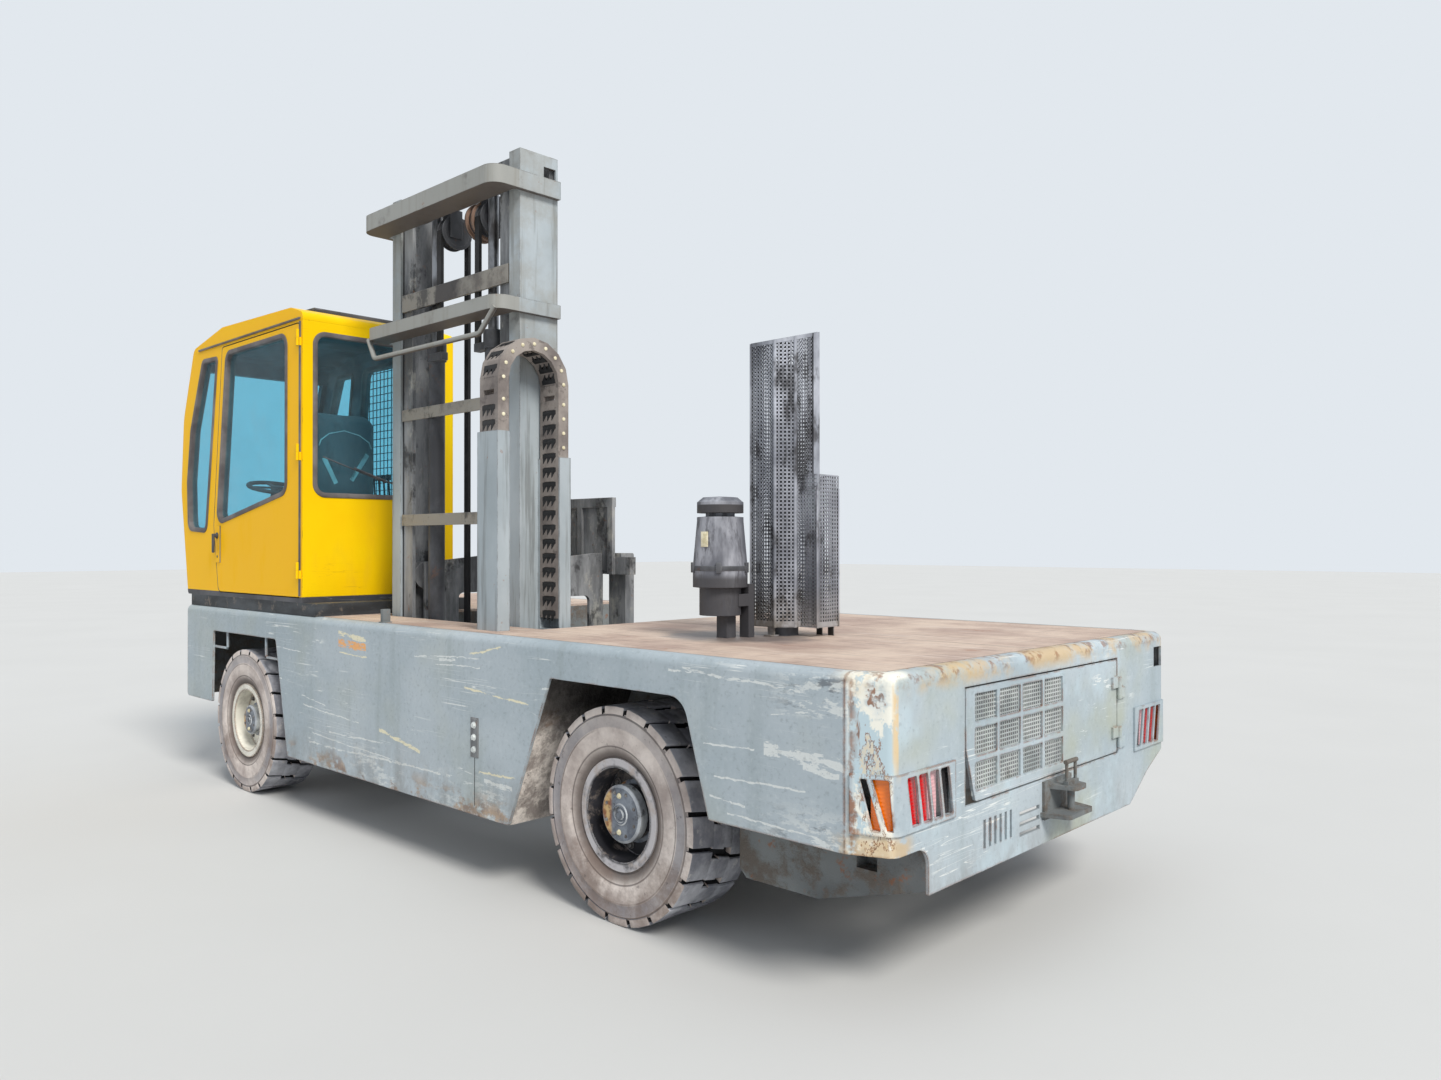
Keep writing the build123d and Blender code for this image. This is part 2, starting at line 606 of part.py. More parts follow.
def exhaust_guard():
    """Faceted mesh guard round the stack with a slanted top, and the lower guard behind it."""
    x, y = stack_x, stack_y
    half_x, half_y, cut, reach = 95, 103, 60, 95
    rows = [(-half_x, -half_y), (half_x, -half_y), (half_x, half_y), (cut - half_x, half_y), (-half_x, half_y - cut)]
    inside = [(guard_sheet - half_x, guard_sheet - half_y), (half_x - guard_sheet, guard_sheet - half_y),
              (half_x - guard_sheet, half_y - guard_sheet), (cut + 3 - half_x, half_y - guard_sheet),
              (guard_sheet - half_x, half_y - cut - 3)]
    d = x - rear_x
    tall = level_plate_of([(d + u, y + v, 0) for u, v in rows], guard_foot_z, 2360)
    tall -= level_plate_of([(d + u, y + v, 0) for u, v in inside], guard_foot_z - 5, 2365)
    tall = tall.cut(*guard_openings(x - half_x, x + half_x, y - half_y + 5, y + half_y - cut - 5,
                                    guard_foot_z + 20, 2240, True))
    tall = tall.cut(*guard_openings(x - half_x + cut + 5, x + half_x - 5, y - half_y, y + half_y,
                                    guard_foot_z + 20, 2240, False))
    tall -= cross_plate_of([(y - 200, 2400, 0), (y + 200, 2400, 0), (y + 200, 2275, 0), (y - 200, 2375, 0)],
                           x - 200, x + 200)
    x0, x1, y0, y1 = x - half_x - reach, x - half_x, y - 135, y + 15
    low = block(x0, x1, y0, y1, guard_foot_z, second_guard_z)
    low -= block(x0 + guard_sheet, x1 + 5, y0 + guard_sheet, y1 - guard_sheet, guard_foot_z - 5, second_guard_z + 5)
    low = low.cut(*guard_openings(x0, x1 - 20, y0 + 10, y1 - 10, guard_foot_z + 20, second_guard_z - 60, True))
    low -= cross_plate_of([(y1 - 35, second_guard_z, 0), (y1, second_guard_z - 60, 0), (y1 + 5, second_guard_z + 5, 0)],
                          x0 - 5, x1 + 5)
    feet = [block(x + 65, x + 95, y - 103, y - 73, deck_z, deck_z + 90),
            block(x - 30, x + 20, y + 73, y + 103, deck_z, deck_z + 90),
            block(x0, x0 + 30, y0, y0 + 30, deck_z, deck_z + 90)]
    return tall.fuse(low, *feet)


# Hose chain loop beside the mast
chain_x0 = rear_x + 2140
chain_x1 = rear_x + 2280
chain_fixed_y = half_width - 180
chain_moving_y = half_width - 515
chain_thick = 58
chain_arch_z = 2190
chain_foot_z = 1100
guide_top_z = 1950
moving_guide_top_z = 1850
link_pitch = 67
link_open = 22
arch_links = 8


def chain_leg(y, z0, z1):
    """Straight leg of open links: two side plates tied by a bar at each link."""
    half = chain_thick / 2
    leg = block(chain_x0, chain_x1, y - half, y + half, z0, z1)
    z = z0 + 14
    cuts = []
    while z + link_open < z1 - 8:
        cuts.append(block(chain_x0 + 30, chain_x1 - 30, y - half - 5, y + half + 5, z, z + link_open))
        z += link_pitch
    return leg.cut(*cuts)


def hose_chain_arch():
    """Half turn of straight open links between the two legs."""
    mid_y = (chain_fixed_y + chain_moving_y) / 2
    radius = (chain_fixed_y - chain_moving_y) / 2
    half = chain_thick / 2
    turns = [math.pi * index / arch_links for index in range(arch_links + 1)]
    outline = [(radius + half, turn) for turn in turns] + [(radius - half, turn) for turn in reversed(turns)]
    points = [Vector(chain_x0, mid_y + r * math.cos(turn), chain_arch_z + r * math.sin(turn)) for r, turn in outline]
    ring = extrude(Face(Wire.make_polygon(points)), amount=chain_x1 - chain_x0, dir=(1, 0, 0))
    cuts = []
    for index in range(arch_links):
        angle = 180 / arch_links * (index + 0.5)
        cut = Pos(0, 0, radius) * Box(chain_x1 - chain_x0 - 60, link_open, 160)
        centre = Pos((chain_x0 + chain_x1) / 2, mid_y, chain_arch_z)
        cuts.append(centre * Rot(angle - 90, 0, 0) * cut)
    return ring.cut(*cuts)


def hose_guide():
    """Upright channel on the deck strip that holds the fixed leg."""
    half = chain_thick / 2
    y0, y1 = chain_fixed_y - half, chain_fixed_y + half + 8
    guide = block(chain_x0 - 8, chain_x1 + 8, y0, y1, deck_z, guide_top_z)
    return guide - block(chain_x0 - 0.3, chain_x1 + 0.3, y0 - 5, y1 - 7.7, deck_z + 12, guide_top_z + 5)


# Mast
upright = 85
upright_web = 15
upright_flange = 35
cavity = mast_depth - 2 * upright_flange
mast_roller = cavity / 2 - roller_gap
tie_arm = 25
# Tie plates, as (bottom, thickness, reach behind the uprights)
tie_plates = ((3105, 85, 170), (2530, 65, 150))
guard_tube = 26
guard_tube_drop = 100
tie_clear = 30
bar_thick = 14
bar_heights = ((2690, 2780), (2105, 2165), (1545, 1605))
inner_gap = 12
inner_web = 15
inner_flange = 20
inner_width = 83
inner_depth = cavity + 2 * inner_flange
inner_foot_z = 650
head_height = 100
carriage_plate = 20


def channel(x_web, toward, width, web, depth, flange, z0, z1):
    """Upright channel with its web at x_web, open towards the middle of the mast."""
    x_end = x_web + toward * width
    y0, y1 = mast_mid_y - depth / 2, mast_mid_y + depth / 2
    body = block(x_web, x_end, y0, y1, z0, z1)
    return body - block(x_web + toward * web, x_end + toward * 5, y0 + flange, y1 - flange, z0 - 5, z1 + 5)


def tie_plate(z0, thick, reach):
    """C shaped plate that wraps the back of both uprights."""
    d0, d1 = mast_rear - tie_arm, mast_rear + mast_width + tie_arm
    back = mast_back_y + reach
    inside = mast_back_y + tie_clear
    return level_plate_of([
        (d0, mast_fore_y, 0), (d0, back, 70), (d1, back, 70), (d1, mast_fore_y, 0),
        (d1 - tie_arm, mast_fore_y, 0), (d1 - tie_arm, inside, 20), (d0 + tie_arm, inside, 20),
        (d0 + tie_arm, mast_fore_y, 0)], z0, z0 + thick)


def outer_mast():
    rear = channel(mast_rear_x, 1, upright, upright_web, mast_depth, upright_flange, mast_foot_z, mast_top_z)
    front = channel(mast_front_x, -1, upright, upright_web, mast_depth, upright_flange, mast_foot_z, mast_top_z)
    rear -= block(mast_rear_x - 5, mast_rear_x + upright_web + 5, mast_fore_y + 12, mast_fore_y + 82,
                  mast_top_z - 105, mast_top_z - 55)
    pieces = [rear, front] + [tie_plate(*row) for row in tie_plates]
    # Bent guard tube hung under the lower tie plate
    z_plate, _, reach = tie_plates[1]
    y_tube = mast_back_y + reach - 15
    z_tube = z_plate - guard_tube_drop
    x0, x1 = mast_rear_x + 5, mast_front_x + 10
    path = FilletPolyline((x0, y_tube, z_plate + 10), (x0 + 125, y_tube, z_tube), (x1 - 65, y_tube, z_tube),
                          (x1, y_tube, z_plate + 10), radius=40)
    ring = Plane(origin=(x0, y_tube, z_plate + 10), z_dir=path % 0) * Circle(guard_tube / 2)
    pieces.append(sweep(ring, path=path))
    # Channel for the moving hose chain leg, on a bracket from the rear upright
    half = chain_thick / 2
    y0, y1 = chain_moving_y - half - 8, chain_moving_y + half
    guide = block(chain_x0 - 8, mast_rear_x, y0, y1, chain_foot_z - 60, moving_guide_top_z)
    guide -= block(chain_x0 - 0.3, chain_x1 + 0.3, y0 + 7.7, y1 + 5, chain_foot_z - 50, moving_guide_top_z + 5)
    pieces.append(guide)
    return pieces[0].fuse(*pieces[1:])


def mast_foot():
    """Cross beam on four rollers that run in the rails."""
    x0, x1 = well_rear_x + rail_depth + 12, well_front_x - rail_depth - 12
    z_mid = rail_z + rail_height / 2
    beam = block(x0, x1, mast_fore_y - 60, mast_back_y, z_mid - 55, mast_foot_z)
    # Room for the carriage to pass: its chain beam in the middle, its side plates at both ends
    gap_x0, gap_x1 = mast_rear_x + 150, mast_front_x - 150
    beam -= block(gap_x0, gap_x1, mast_fore_y - 65, chain_fore_y + 32, z_mid - 60, mast_foot_z + 5)
    plate_reach = upright + inner_gap + inner_width + 12
    for x_web, toward in ((mast_rear_x, 1), (mast_front_x, -1)):
        x_plate = x_web + toward * plate_reach
        beam -= block(x_plate - toward * 12, x_plate + toward * (carriage_plate + 12), mast_fore_y - 65,
                      mast_mid_y + 45, z_mid - 60, mast_foot_z + 5)
    pieces = [beam]
    for y in (mast_fore_y - 5, mast_back_y - 55):
        for x_in, x_out in ((x0, well_rear_x + rail_wall + 8), (x1, well_front_x - rail_wall - 8)):
            x_roller = x_out + (40 if x_out < x_in else -40)
            pieces.append(rod(22, (x_in, y, z_mid), (x_out, y, z_mid)))
            pieces.append(rod(roller_radius, (x_roller, y, z_mid), (x_out, y, z_mid)))
    return pieces[0].fuse(*pieces[1:])


sheave_radius = 74
sheave_z = inner_top_z - 215
chain_width = 38
chain_gauge = 16
sheave_x = (mast_rear_x + 385, mast_front_x - 430)
sheave_y = mast_mid_y
chain_back_y = sheave_y + sheave_radius + chain_gauge / 2
chain_fore_y = sheave_y - sheave_radius - chain_gauge / 2
rear_lift_offset = 315
front_lift_offset = 330
barrel_radius = 42
lift_rod_radius = 26
barrel_top_z = 2500
lift_y = mast_mid_y + 40
anchor_drop = 60
lift_x = (mast_rear_x + rear_lift_offset, mast_front_x - front_lift_offset)


def lift_barrels():
    solids = []
    for x, x_chain in zip(lift_x, sheave_x):
        bore = lift_rod_radius + running_gap
        body = rod(barrel_radius, (x, lift_y, mast_foot_z), (x, lift_y, barrel_top_z))
        body = body.fuse(rod(barrel_radius + 8, (x, lift_y, barrel_top_z - 90), (x, lift_y, barrel_top_z)))
        anchor = block(x, x_chain + (25 if x_chain > x else -25), chain_back_y - 30, chain_back_y + 8,
                       barrel_top_z - anchor_drop - 40, barrel_top_z - anchor_drop)
        solids.append(body.fuse(anchor) - rod(bore, (x, lift_y, mast_foot_z + 30), (x, lift_y, barrel_top_z + 5)))
    return solids


def inner_mast():
    x0 = mast_rear_x + upright + inner_gap
    x1 = mast_front_x - upright - inner_gap
    rear = channel(x0, 1, inner_width, inner_web, inner_depth, inner_flange, inner_foot_z, inner_top_z)
    front = channel(x1, -1, inner_width, inner_web, inner_depth, inner_flange, inner_foot_z, inner_top_z)
    pieces = [rear, front]
    back = mast_mid_y + inner_depth / 2
    pieces.append(block(x0, x1, lift_y - 45, back, inner_top_z - head_height, inner_top_z))
    # Flat bars across the back
    for z0, z1 in bar_heights + ((inner_foot_z + 20, inner_foot_z + 100),):
        pieces.append(block(x0, x1, back, back + bar_thick, z0, z1))
    for z in (inner_foot_z + 90, inner_foot_z + 640):
        for x_web, toward in ((x0, -1), (x1, 1)):
            pieces.append(rod(20, (x_web, mast_mid_y, z), (x_web + toward * 60, mast_mid_y, z)))
            pieces.append(rod(mast_roller, (x_web + toward * 24, mast_mid_y, z),
                              (x_web + toward * 76, mast_mid_y, z)))
    return pieces[0].fuse(*pieces[1:])


def lift_rods():
    solids = []
    for x in lift_x:
        solids.append(rod(lift_rod_radius, (x, lift_y, mast_foot_z + 255), (x, lift_y, inner_top_z - head_height)))
    return solids


def chain_sheaves():
    solids = []
    for x in sheave_x:
        wheel = rod(sheave_radius + 12, (x - 26, sheave_y, sheave_z), (x + 26, sheave_y, sheave_z))
        wheel -= tube(sheave_radius + 40, sheave_radius, (x - 20, sheave_y, sheave_z), (x + 20, sheave_y, sheave_z))
        plates = [block(x + side * 34 - 5, x + side * 34 + 5, sheave_y - 25, sheave_y + 45, sheave_z - 30,
                        inner_top_z - head_height) for side in (-1, 1)]
        pin = rod(18, (x - 39, sheave_y, sheave_z), (x + 39, sheave_y, sheave_z))
        solids.append(wheel.fuse(pin, *plates))
    return solids


def chain_strands(y, z0, z1):
    half_width_x, half_gauge = chain_width / 2, chain_gauge / 2
    return [block(x - half_width_x, x + half_width_x, y - half_gauge, y + half_gauge, z0, z1) for x in sheave_x]


# Carriage and forks
shank_back_y = half_width - 1090
fork_thick = 60
fork_width = 130
fork_bottom_z = 500
fork_tip_y = 10 - half_width
bar_low_z = 620
bar_high_z = 1290
bar_height = 90
bar_reach = 600
carriage_roller_heights = (945, 1280)
load_guard_z = 1690
load_guard_reach = (485, 295)
fork_spread = 455
mast_mid_x = (mast_rear_x + mast_front_x) / 2
chain_beam_z = 900
fork_x = (mast_mid_x - fork_spread, mast_mid_x + fork_spread)


def carriage():
    inner_x0 = mast_rear_x + upright + inner_gap
    inner_x1 = mast_front_x - upright - inner_gap
    bar_y0, bar_y1 = shank_back_y, shank_back_y + 40
    pieces = []
    for x_web, toward in ((inner_x0, 1), (inner_x1, -1)):
        plate_x = x_web + toward * (inner_width + 12)
        plate = cross_plate_of([
            (mast_mid_y + 35, 870, 0), (mast_mid_y + 35, 1350, 0), (bar_y1 + 60, 1400, 30), (bar_y1, 1400, 0),
            (bar_y1, 600, 0), (bar_y1 + 120, 600, 40), (mast_fore_y, 870, 30)],
            plate_x, plate_x + toward * carriage_plate)
        window = cross_plate_of([(bar_y1 + 90, 820, 30), (mast_fore_y - 60, 820, 30), (mast_fore_y - 60, 1180, 30),
                                 (bar_y1 + 90, 1180, 30)], plate_x - 30, plate_x + 30)
        pieces.append(plate - window)
        for z in carriage_roller_heights:
            pieces.append(rod(24, (plate_x, mast_mid_y, z), (plate_x - toward * 40, mast_mid_y, z)))
            pieces.append(rod(mast_roller, (plate_x - toward * 22, mast_mid_y, z),
                              (plate_x - toward * 76, mast_mid_y, z)))
    # Beam between the side plates that the lift chains pull on
    pieces.append(block(inner_x0 + inner_width + 20, inner_x1 - inner_width - 20, chain_fore_y - 30,
                        chain_fore_y + 25, chain_beam_z - 70, chain_beam_z))
    for z0 in (bar_low_z, bar_high_z):
        pieces.append(block(mast_mid_x - bar_reach, mast_mid_x + bar_reach, bar_y0, bar_y1, z0, z0 + bar_height))
    # Load guard behind and above the bars, filled with a sheet
    guard_x0, guard_x1 = mast_mid_x - load_guard_reach[0], mast_mid_x + load_guard_reach[1]
    for step in range(4):
        x = guard_x0 + 20 + (guard_x1 - guard_x0 - 40) * step / 3
        pieces.append(block(x - 20, x + 20, bar_y1, bar_y1 + 20, bar_high_z, load_guard_z))
    pieces.append(block(guard_x0, guard_x1, bar_y1 - 6, bar_y1 + 20, load_guard_z - 50, load_guard_z))
    pieces.append(block(guard_x0, guard_x1, bar_y1, bar_y1 + 8, bar_high_z + 20, load_guard_z - 20))
    body = pieces[0]
    return body.fuse(*pieces[1:])


def fork(x):
    """Fork hung in front of the carriage bars, with a tapered blade."""
    shank_front = shank_back_y - 0.3
    hook_z = bar_high_z + bar_height + roller_gap
    top_z = fork_bottom_z + fork_thick
    side = [(shank_front, fork_bottom_z, 30), (shank_front, hook_z, 0), (shank_front + 30, hook_z, 0),
            (shank_front + 30, hook_z + 20, 0), (shank_front - fork_thick, hook_z + 20, 12),
            (shank_front - fork_thick, top_z, 20), (fork_tip_y, top_z, 6), (fork_tip_y, top_z - 18, 0),
            (shank_front - 420, fork_bottom_z, 0)]
    return cross_plate_of(side, x - fork_width / 2, x + fork_width / 2)


# Cab. Its side shape, as (distance from the rear face, z, radius)
cab_nose = chassis_length + nose_reach
roof_split_z = 2660
cab_side = [(cab_rear, cab_floor_z, 0), (cab_nose - 120, cab_floor_z, 20), (cab_nose, 1800, 300),
            (cab_nose - 40, 2260, 300), (cab_nose - 210, 2690, 60), (cab_nose - 660, 2770, 80),
            (cab_rear + 140, 2745, 80), (cab_rear, 2700, 40)]
cab_inside = [(cab_rear + cab_wall, cab_floor_z + 30, 0), (cab_nose - 160, cab_floor_z + 30, 0),
              (cab_nose - 48, 1800, 280), (cab_nose - 88, 2250, 280), (cab_nose - 245, 2640, 40),
              (cab_nose - 665, 2722, 60), (cab_rear + 150, 2698, 60), (cab_rear + cab_wall, 2660, 20)]
door_rear = cab_rear + 42
door_foot_z = cab_floor_z + 30
door_head_z = 2645
door_outline = [(door_rear, door_foot_z, 0), (cab_nose - 610, door_foot_z, 40), (cab_nose - 538, 1560, 60),
                (cab_nose - 662, door_head_z, 20), (door_rear, door_head_z, 20)]
door_seam = [(door_rear - door_gap, door_foot_z - door_gap, 0), (cab_nose - 605, door_foot_z - door_gap, 44),
             (cab_nose - 531.5, 1560, 66), (cab_nose - 656.5, door_head_z + door_gap, 24),
             (door_rear - door_gap, door_head_z + door_gap, 24)]
door_window = [(cab_rear + 195, 1735, 70), (cab_nose - 595, 1575, 60), (cab_nose - 730, 2605, 60),
               (cab_rear + 195, 2605, 70)]
strip_window = [(cab_nose - 420, 1530, 50), (cab_nose - 136, 1545, 60), (cab_nose - 120, 1850, 150),
                (cab_nose - 175, 2180, 150), (cab_nose - 365, 2598, 40), (cab_nose - 585, 2590, 20)]
rear_window = (cab_right_y + 80, cab_left_y - 70, 1715, 2596)
front_window_z = (1330, 2560)
post_line_x = rear_x + cab_nose - 320
glass = 6
glass_gap = 0.3


def cab_shell():
    outer = side_plate_of(cab_side, cab_right_y, cab_left_y)
    inner = side_plate_of(cab_inside, cab_right_y + cab_wall, cab_left_y - cab_wall)
    return outer - inner


def rear_window_cut(extra):
    y0, y1, z0, z1 = rear_window
    return cross_plate_of([(y0 - extra, z0 - extra, 60), (y1 + extra, z0 - extra, 60),
                           (y1 + extra, z1 + extra, 60), (y0 - extra, z1 + extra, 60)],
                          cab_rear_x - 10, cab_rear_x + cab_wall + 10)


def front_window_cut():
    return block(rear_x + cab_nose - 220, rear_x + cab_nose + 100, cab_right_y + 75, cab_left_y - 75,
                 front_window_z[0], front_window_z[1])


def cab_walls():
    """Shell cut into roof, rear wall, right wall and front, with the door's place left open."""
    shell = cab_shell() - side_plate_of(door_seam, cab_left_y - cab_wall - 5, cab_left_y + 5)
    shell -= side_plate_of(strip_window, cab_left_y - cab_wall - 5, cab_left_y + 5)
    for outline in (door_window, strip_window):
        shell -= side_plate_of(outline, cab_right_y - 5, cab_right_y + cab_wall + 5)
    shell -= rear_window_cut(0)
    shell -= front_window_cut()
    big = 3000
    roof = shell & block(-big, big, -big, big, roof_split_z, big)
    body = shell & block(-big, big, -big, big, 0, roof_split_z)
    floor = body & block(-big, big, -big, big, 0, cab_floor_z + 30)
    body = body & block(-big, big, -big, big, cab_floor_z + 30, big)
    rear = body & block(-big, cab_rear_x + cab_wall, -big, big, 0, big)
    for z in hinge_heights:
        rear = rear.fuse(hinge_knuckle(hinge_x, hinge_y, z, hinge_x - 25, cab_left_y, True))
    rest = body & block(cab_rear_x + cab_wall, big, -big, big, 0, big)
    right = rest & block(-big, post_line_x, -big, cab_right_y + cab_wall, 0, big)
    left_front = rest - block(-big, post_line_x, -big, cab_right_y + cab_wall, 0, big)
    return {"cab_roof": roof, "cab_floor": floor, "cab_rear_wall": rear, "cab_right_wall": right,
            "cab_front": left_front}


def cab_base():
    return block(rear_x + 3610, front_x - 10, cab_right_y, cab_left_y, deck_z, cab_floor_z)


def roof_hatch():
    """Raised cover on the roof, on the side towards the mast."""
    d0, d1 = cab_rear + 210, cab_rear + 840
    slope = 25 / (cab_nose - 660 - cab_rear - 140)
    low = [2745 + (d - cab_rear - 140) * slope for d in (d0, d1)]
    return side_plate_of([(d0, low[0], 0), (d1, low[1], 0), (d1, low[1] + 38, 12), (d0, low[0] + 38, 12)],
                         cab_right_y + 145, cab_left_y - 170)


def cab_glass():
    y_left = cab_left_y - cab_wall / 2
    y_right = cab_right_y + cab_wall / 2
    panes = []
    for outline, y in ((strip_window, y_left), (strip_window, y_right), (door_window, y_right)):
        panes.append(side_plate_of(shrunk(outline, glass_gap), y - glass / 2, y + glass / 2))
    x_mid = cab_rear_x + cab_wall / 2
    panes.append(rear_window_cut(-glass_gap) & block(x_mid - glass / 2, x_mid + glass / 2, -half_width, half_width,
                                                     0, roof_split_z))
    outer = side_plate_of(cab_side, cab_right_y + 75 + glass_gap, cab_left_y - 75 - glass_gap)
    back = Pos(-20, 0, 0) * outer
    front = Pos(-20 - glass, 0, 0) * outer
    pane = (back - front) & block(rear_x + cab_nose - 250, rear_x + cab_nose + 100, -half_width, half_width,
                                  front_window_z[0] + glass_gap, front_window_z[1] - glass_gap)
    panes.append(pane)
    return panes


def shrunk(rows, gap):
    """The rows moved towards their middle by a small gap."""
    mid_u = sum(row[0] for row in rows) / len(rows)
    mid_v = sum(row[1] for row in rows) / len(rows)
    moved = []
    for u, v, radius in rows:
        length = math.hypot(u - mid_u, v - mid_v)
        scale = 1 - 1.6 * gap / length
        moved.append((mid_u + (u - mid_u) * scale, mid_v + (v - mid_v) * scale, radius))
    return moved


hinge_x = rear_x + door_rear - door_gap / 2
hinge_y = cab_left_y + 10
hinge_radius = 9
hinge_pin = 4
hinge_heights = (1260, 1900, 2520)
hinge_tall = 45
leaf = 5


def hinge_knuckle(x, y, z, x_leaf, y_leaf, pin):
    """Hinge knuckle with its leaf from the axis to (x_leaf, y_leaf), bored or with a pin above it."""
    body = rod(hinge_radius, (x, y, z), (x, y, z + hinge_tall))
    body = body.fuse(block(x, x_leaf, y, y_leaf, z, z + hinge_tall))
    if pin:
        return body.fuse(rod(hinge_pin, (x, y, z), (x, y, z + 2 * hinge_tall)))
    return body - rod(hinge_pin + running_gap, (x, y, z - 5), (x, y, z + hinge_tall + 5))


def window_guard():
    """Welded bar grid over the right window, on the mast's side."""
    x0, x1 = rear_x + cab_rear + 170, rear_x + cab_nose - 600
    z0, z1 = 1700, 2640
    y0, y1 = cab_right_y - 20, cab_right_y - 6
    grid = block(x0, x1, y0, y1, z0, z1) - block(x0 + 14, x1 - 14, y0 - 5, y1 + 5, z0 + 14, z1 - 14)
    bars = []
    for index in range(1, 10):
        x = x0 + (x1 - x0) / 10 * index
        bars.append(block(x - 3, x + 3, y0, y1, z0, z1))
    for index in range(1, 9):
        z = z0 + (z1 - z0) / 9 * index
        bars.append(block(x0, x1, y0, y1, z - 3, z + 3))
    for x in (x0 + 10, x1 - 10):
        for z in (z0, z1 - 20):
            bars.append(block(x - 10, x + 10, y1 - 2, cab_right_y, z, z + 20))
    return grid.fuse(*bars)


def cab_door():
    panel = side_plate_of(door_outline, cab_left_y - cab_wall, cab_left_y)
    panel -= side_plate_of(door_window, cab_left_y - cab_wall - 5, cab_left_y + 5)
    pieces = []
    for z in hinge_heights:
        z_door = z + hinge_tall + 0.5
        pieces.append(hinge_knuckle(hinge_x, hinge_y, z_door, hinge_x + 30, cab_left_y, False))
    lock_plate = block(rear_x + 4860, rear_x + 4918, cab_left_y, cab_left_y + 6, 1335, 1560)
    return panel.fuse(lock_plate, *pieces)


def door_glass():
    y = cab_left_y - cab_wall / 2
    return side_plate_of(shrunk(door_window, glass_gap), y - glass / 2, y + glass / 2)


engine_hinge_x = rear_x - hinge_radius
engine_hinge_heights = (620, 820)


def engine_door():
    """Grille door in the rear face, with a grid of mesh openings."""
    y0, y1 = door_right_y + door_gap, door_left_y - door_gap
    z0, z1 = door_bottom_z + door_gap, door_top_z - door_gap
    panel = cross_plate_of([(y0, z0, 12), (y1 - 60, z0, 12), (y1, z0 + 180, 12), (y1, z1, 12), (y0, z1, 12)],
                           rear_x, rear_x + side_plate)
    for column in range(4):
        for row in range(3):
            y = y1 - 60 - 165 * column
            z = z0 + 35 + 112 * row
            panel -= block(rear_x - 5, rear_x + 30, y - 145, y, z, z + 92)
    for z in engine_hinge_heights:
        knuckle_z = z + hinge_tall + 0.5
        panel = panel.fuse(hinge_knuckle(engine_hinge_x, door_right_y, knuckle_z, rear_x, door_right_y + 60, False))
    return panel


seat_y = half_width - 330


def cab_seat():
    x, y = rear_x + 4150, seat_y
    base = block(x - 180, x + 200, y - 200, y + 200, cab_floor_z + 30, 1480)
    return base


def seat_cushion():
    x, y = rear_x + 4150, seat_y
    return fillet(block(x - 210, x + 250, y - 240, y + 240, 1480.3, 1600).edges(), 30)


def seat_back():
    x, y = rear_x + 3960, seat_y
    back = block(x - 60, x + 60, y - 230, y + 230, 1600.3, 2220)
    return fillet(back.edges(), 35)


wheel_hub = (rear_x + 4780, seat_y, 1800)
column_lean = 14
column_length = 600
hub_depth = 24


def steering_plane():
    """Plane of the steering wheel, square to the leaning column."""
    lean = math.radians(column_lean)
    return Plane(origin=wheel_hub, z_dir=(-math.sin(lean), 0, math.cos(lean)))


def steering_column():
    low = Align.CENTER, Align.CENTER, Align.MAX
    column = steering_plane() * Pos(0, 0, -hub_depth / 2 - roller_gap) * Cylinder(32, column_length, align=low)
    x, y, _ = wheel_hub
    lean = math.radians(column_lean)
    x_foot = x + math.sin(lean) * column_length
    foot = block(x_foot - 90, x_foot + 90, y - 90, y + 90, cab_floor_z + 30, 1800 - column_length + 30)
    floor = block(x_foot - 300, x_foot + 300, y - 300, y + 300, cab_floor_z - 300, cab_floor_z + 30)
    return column.fuse(foot) - floor


def steering_wheel():
    turns = [math.pi / 3 * index for index in range(6)]
    ring = faceted_ring([(165 + 13 * math.cos(turn), 13 * math.sin(turn)) for turn in turns], 24)
    ring = Rot(90, 0, 0) * ring
    spokes = [Box(330, 22, 10), Box(22, 330, 10), Cylinder(35, hub_depth)]
    return steering_plane() * ring.fuse(*spokes)


def control_console():
    """Pedestal on the mast side of the seat, with its row of lift levers."""
    x, y = rear_x + 4350, cab_right_y + cab_wall + 90
    body = side_plate_of([(4150, cab_floor_z + 30, 0), (4560, cab_floor_z + 30, 0), (4560, 1650, 40),
                          (4500, 1740, 40), (4150, 1700, 30)], y - 75, y + 75)
    levers = []
    for index in range(4):
        x_lever = x - 90 + 60 * index
        levers.append(rod(6, (x_lever, y, 1690), (x_lever + 20, y, 1860)))
        levers.append(rod(15, (x_lever + 20, y, 1850), (x_lever + 20, y, 1885)))
    return body.fuse(*levers)


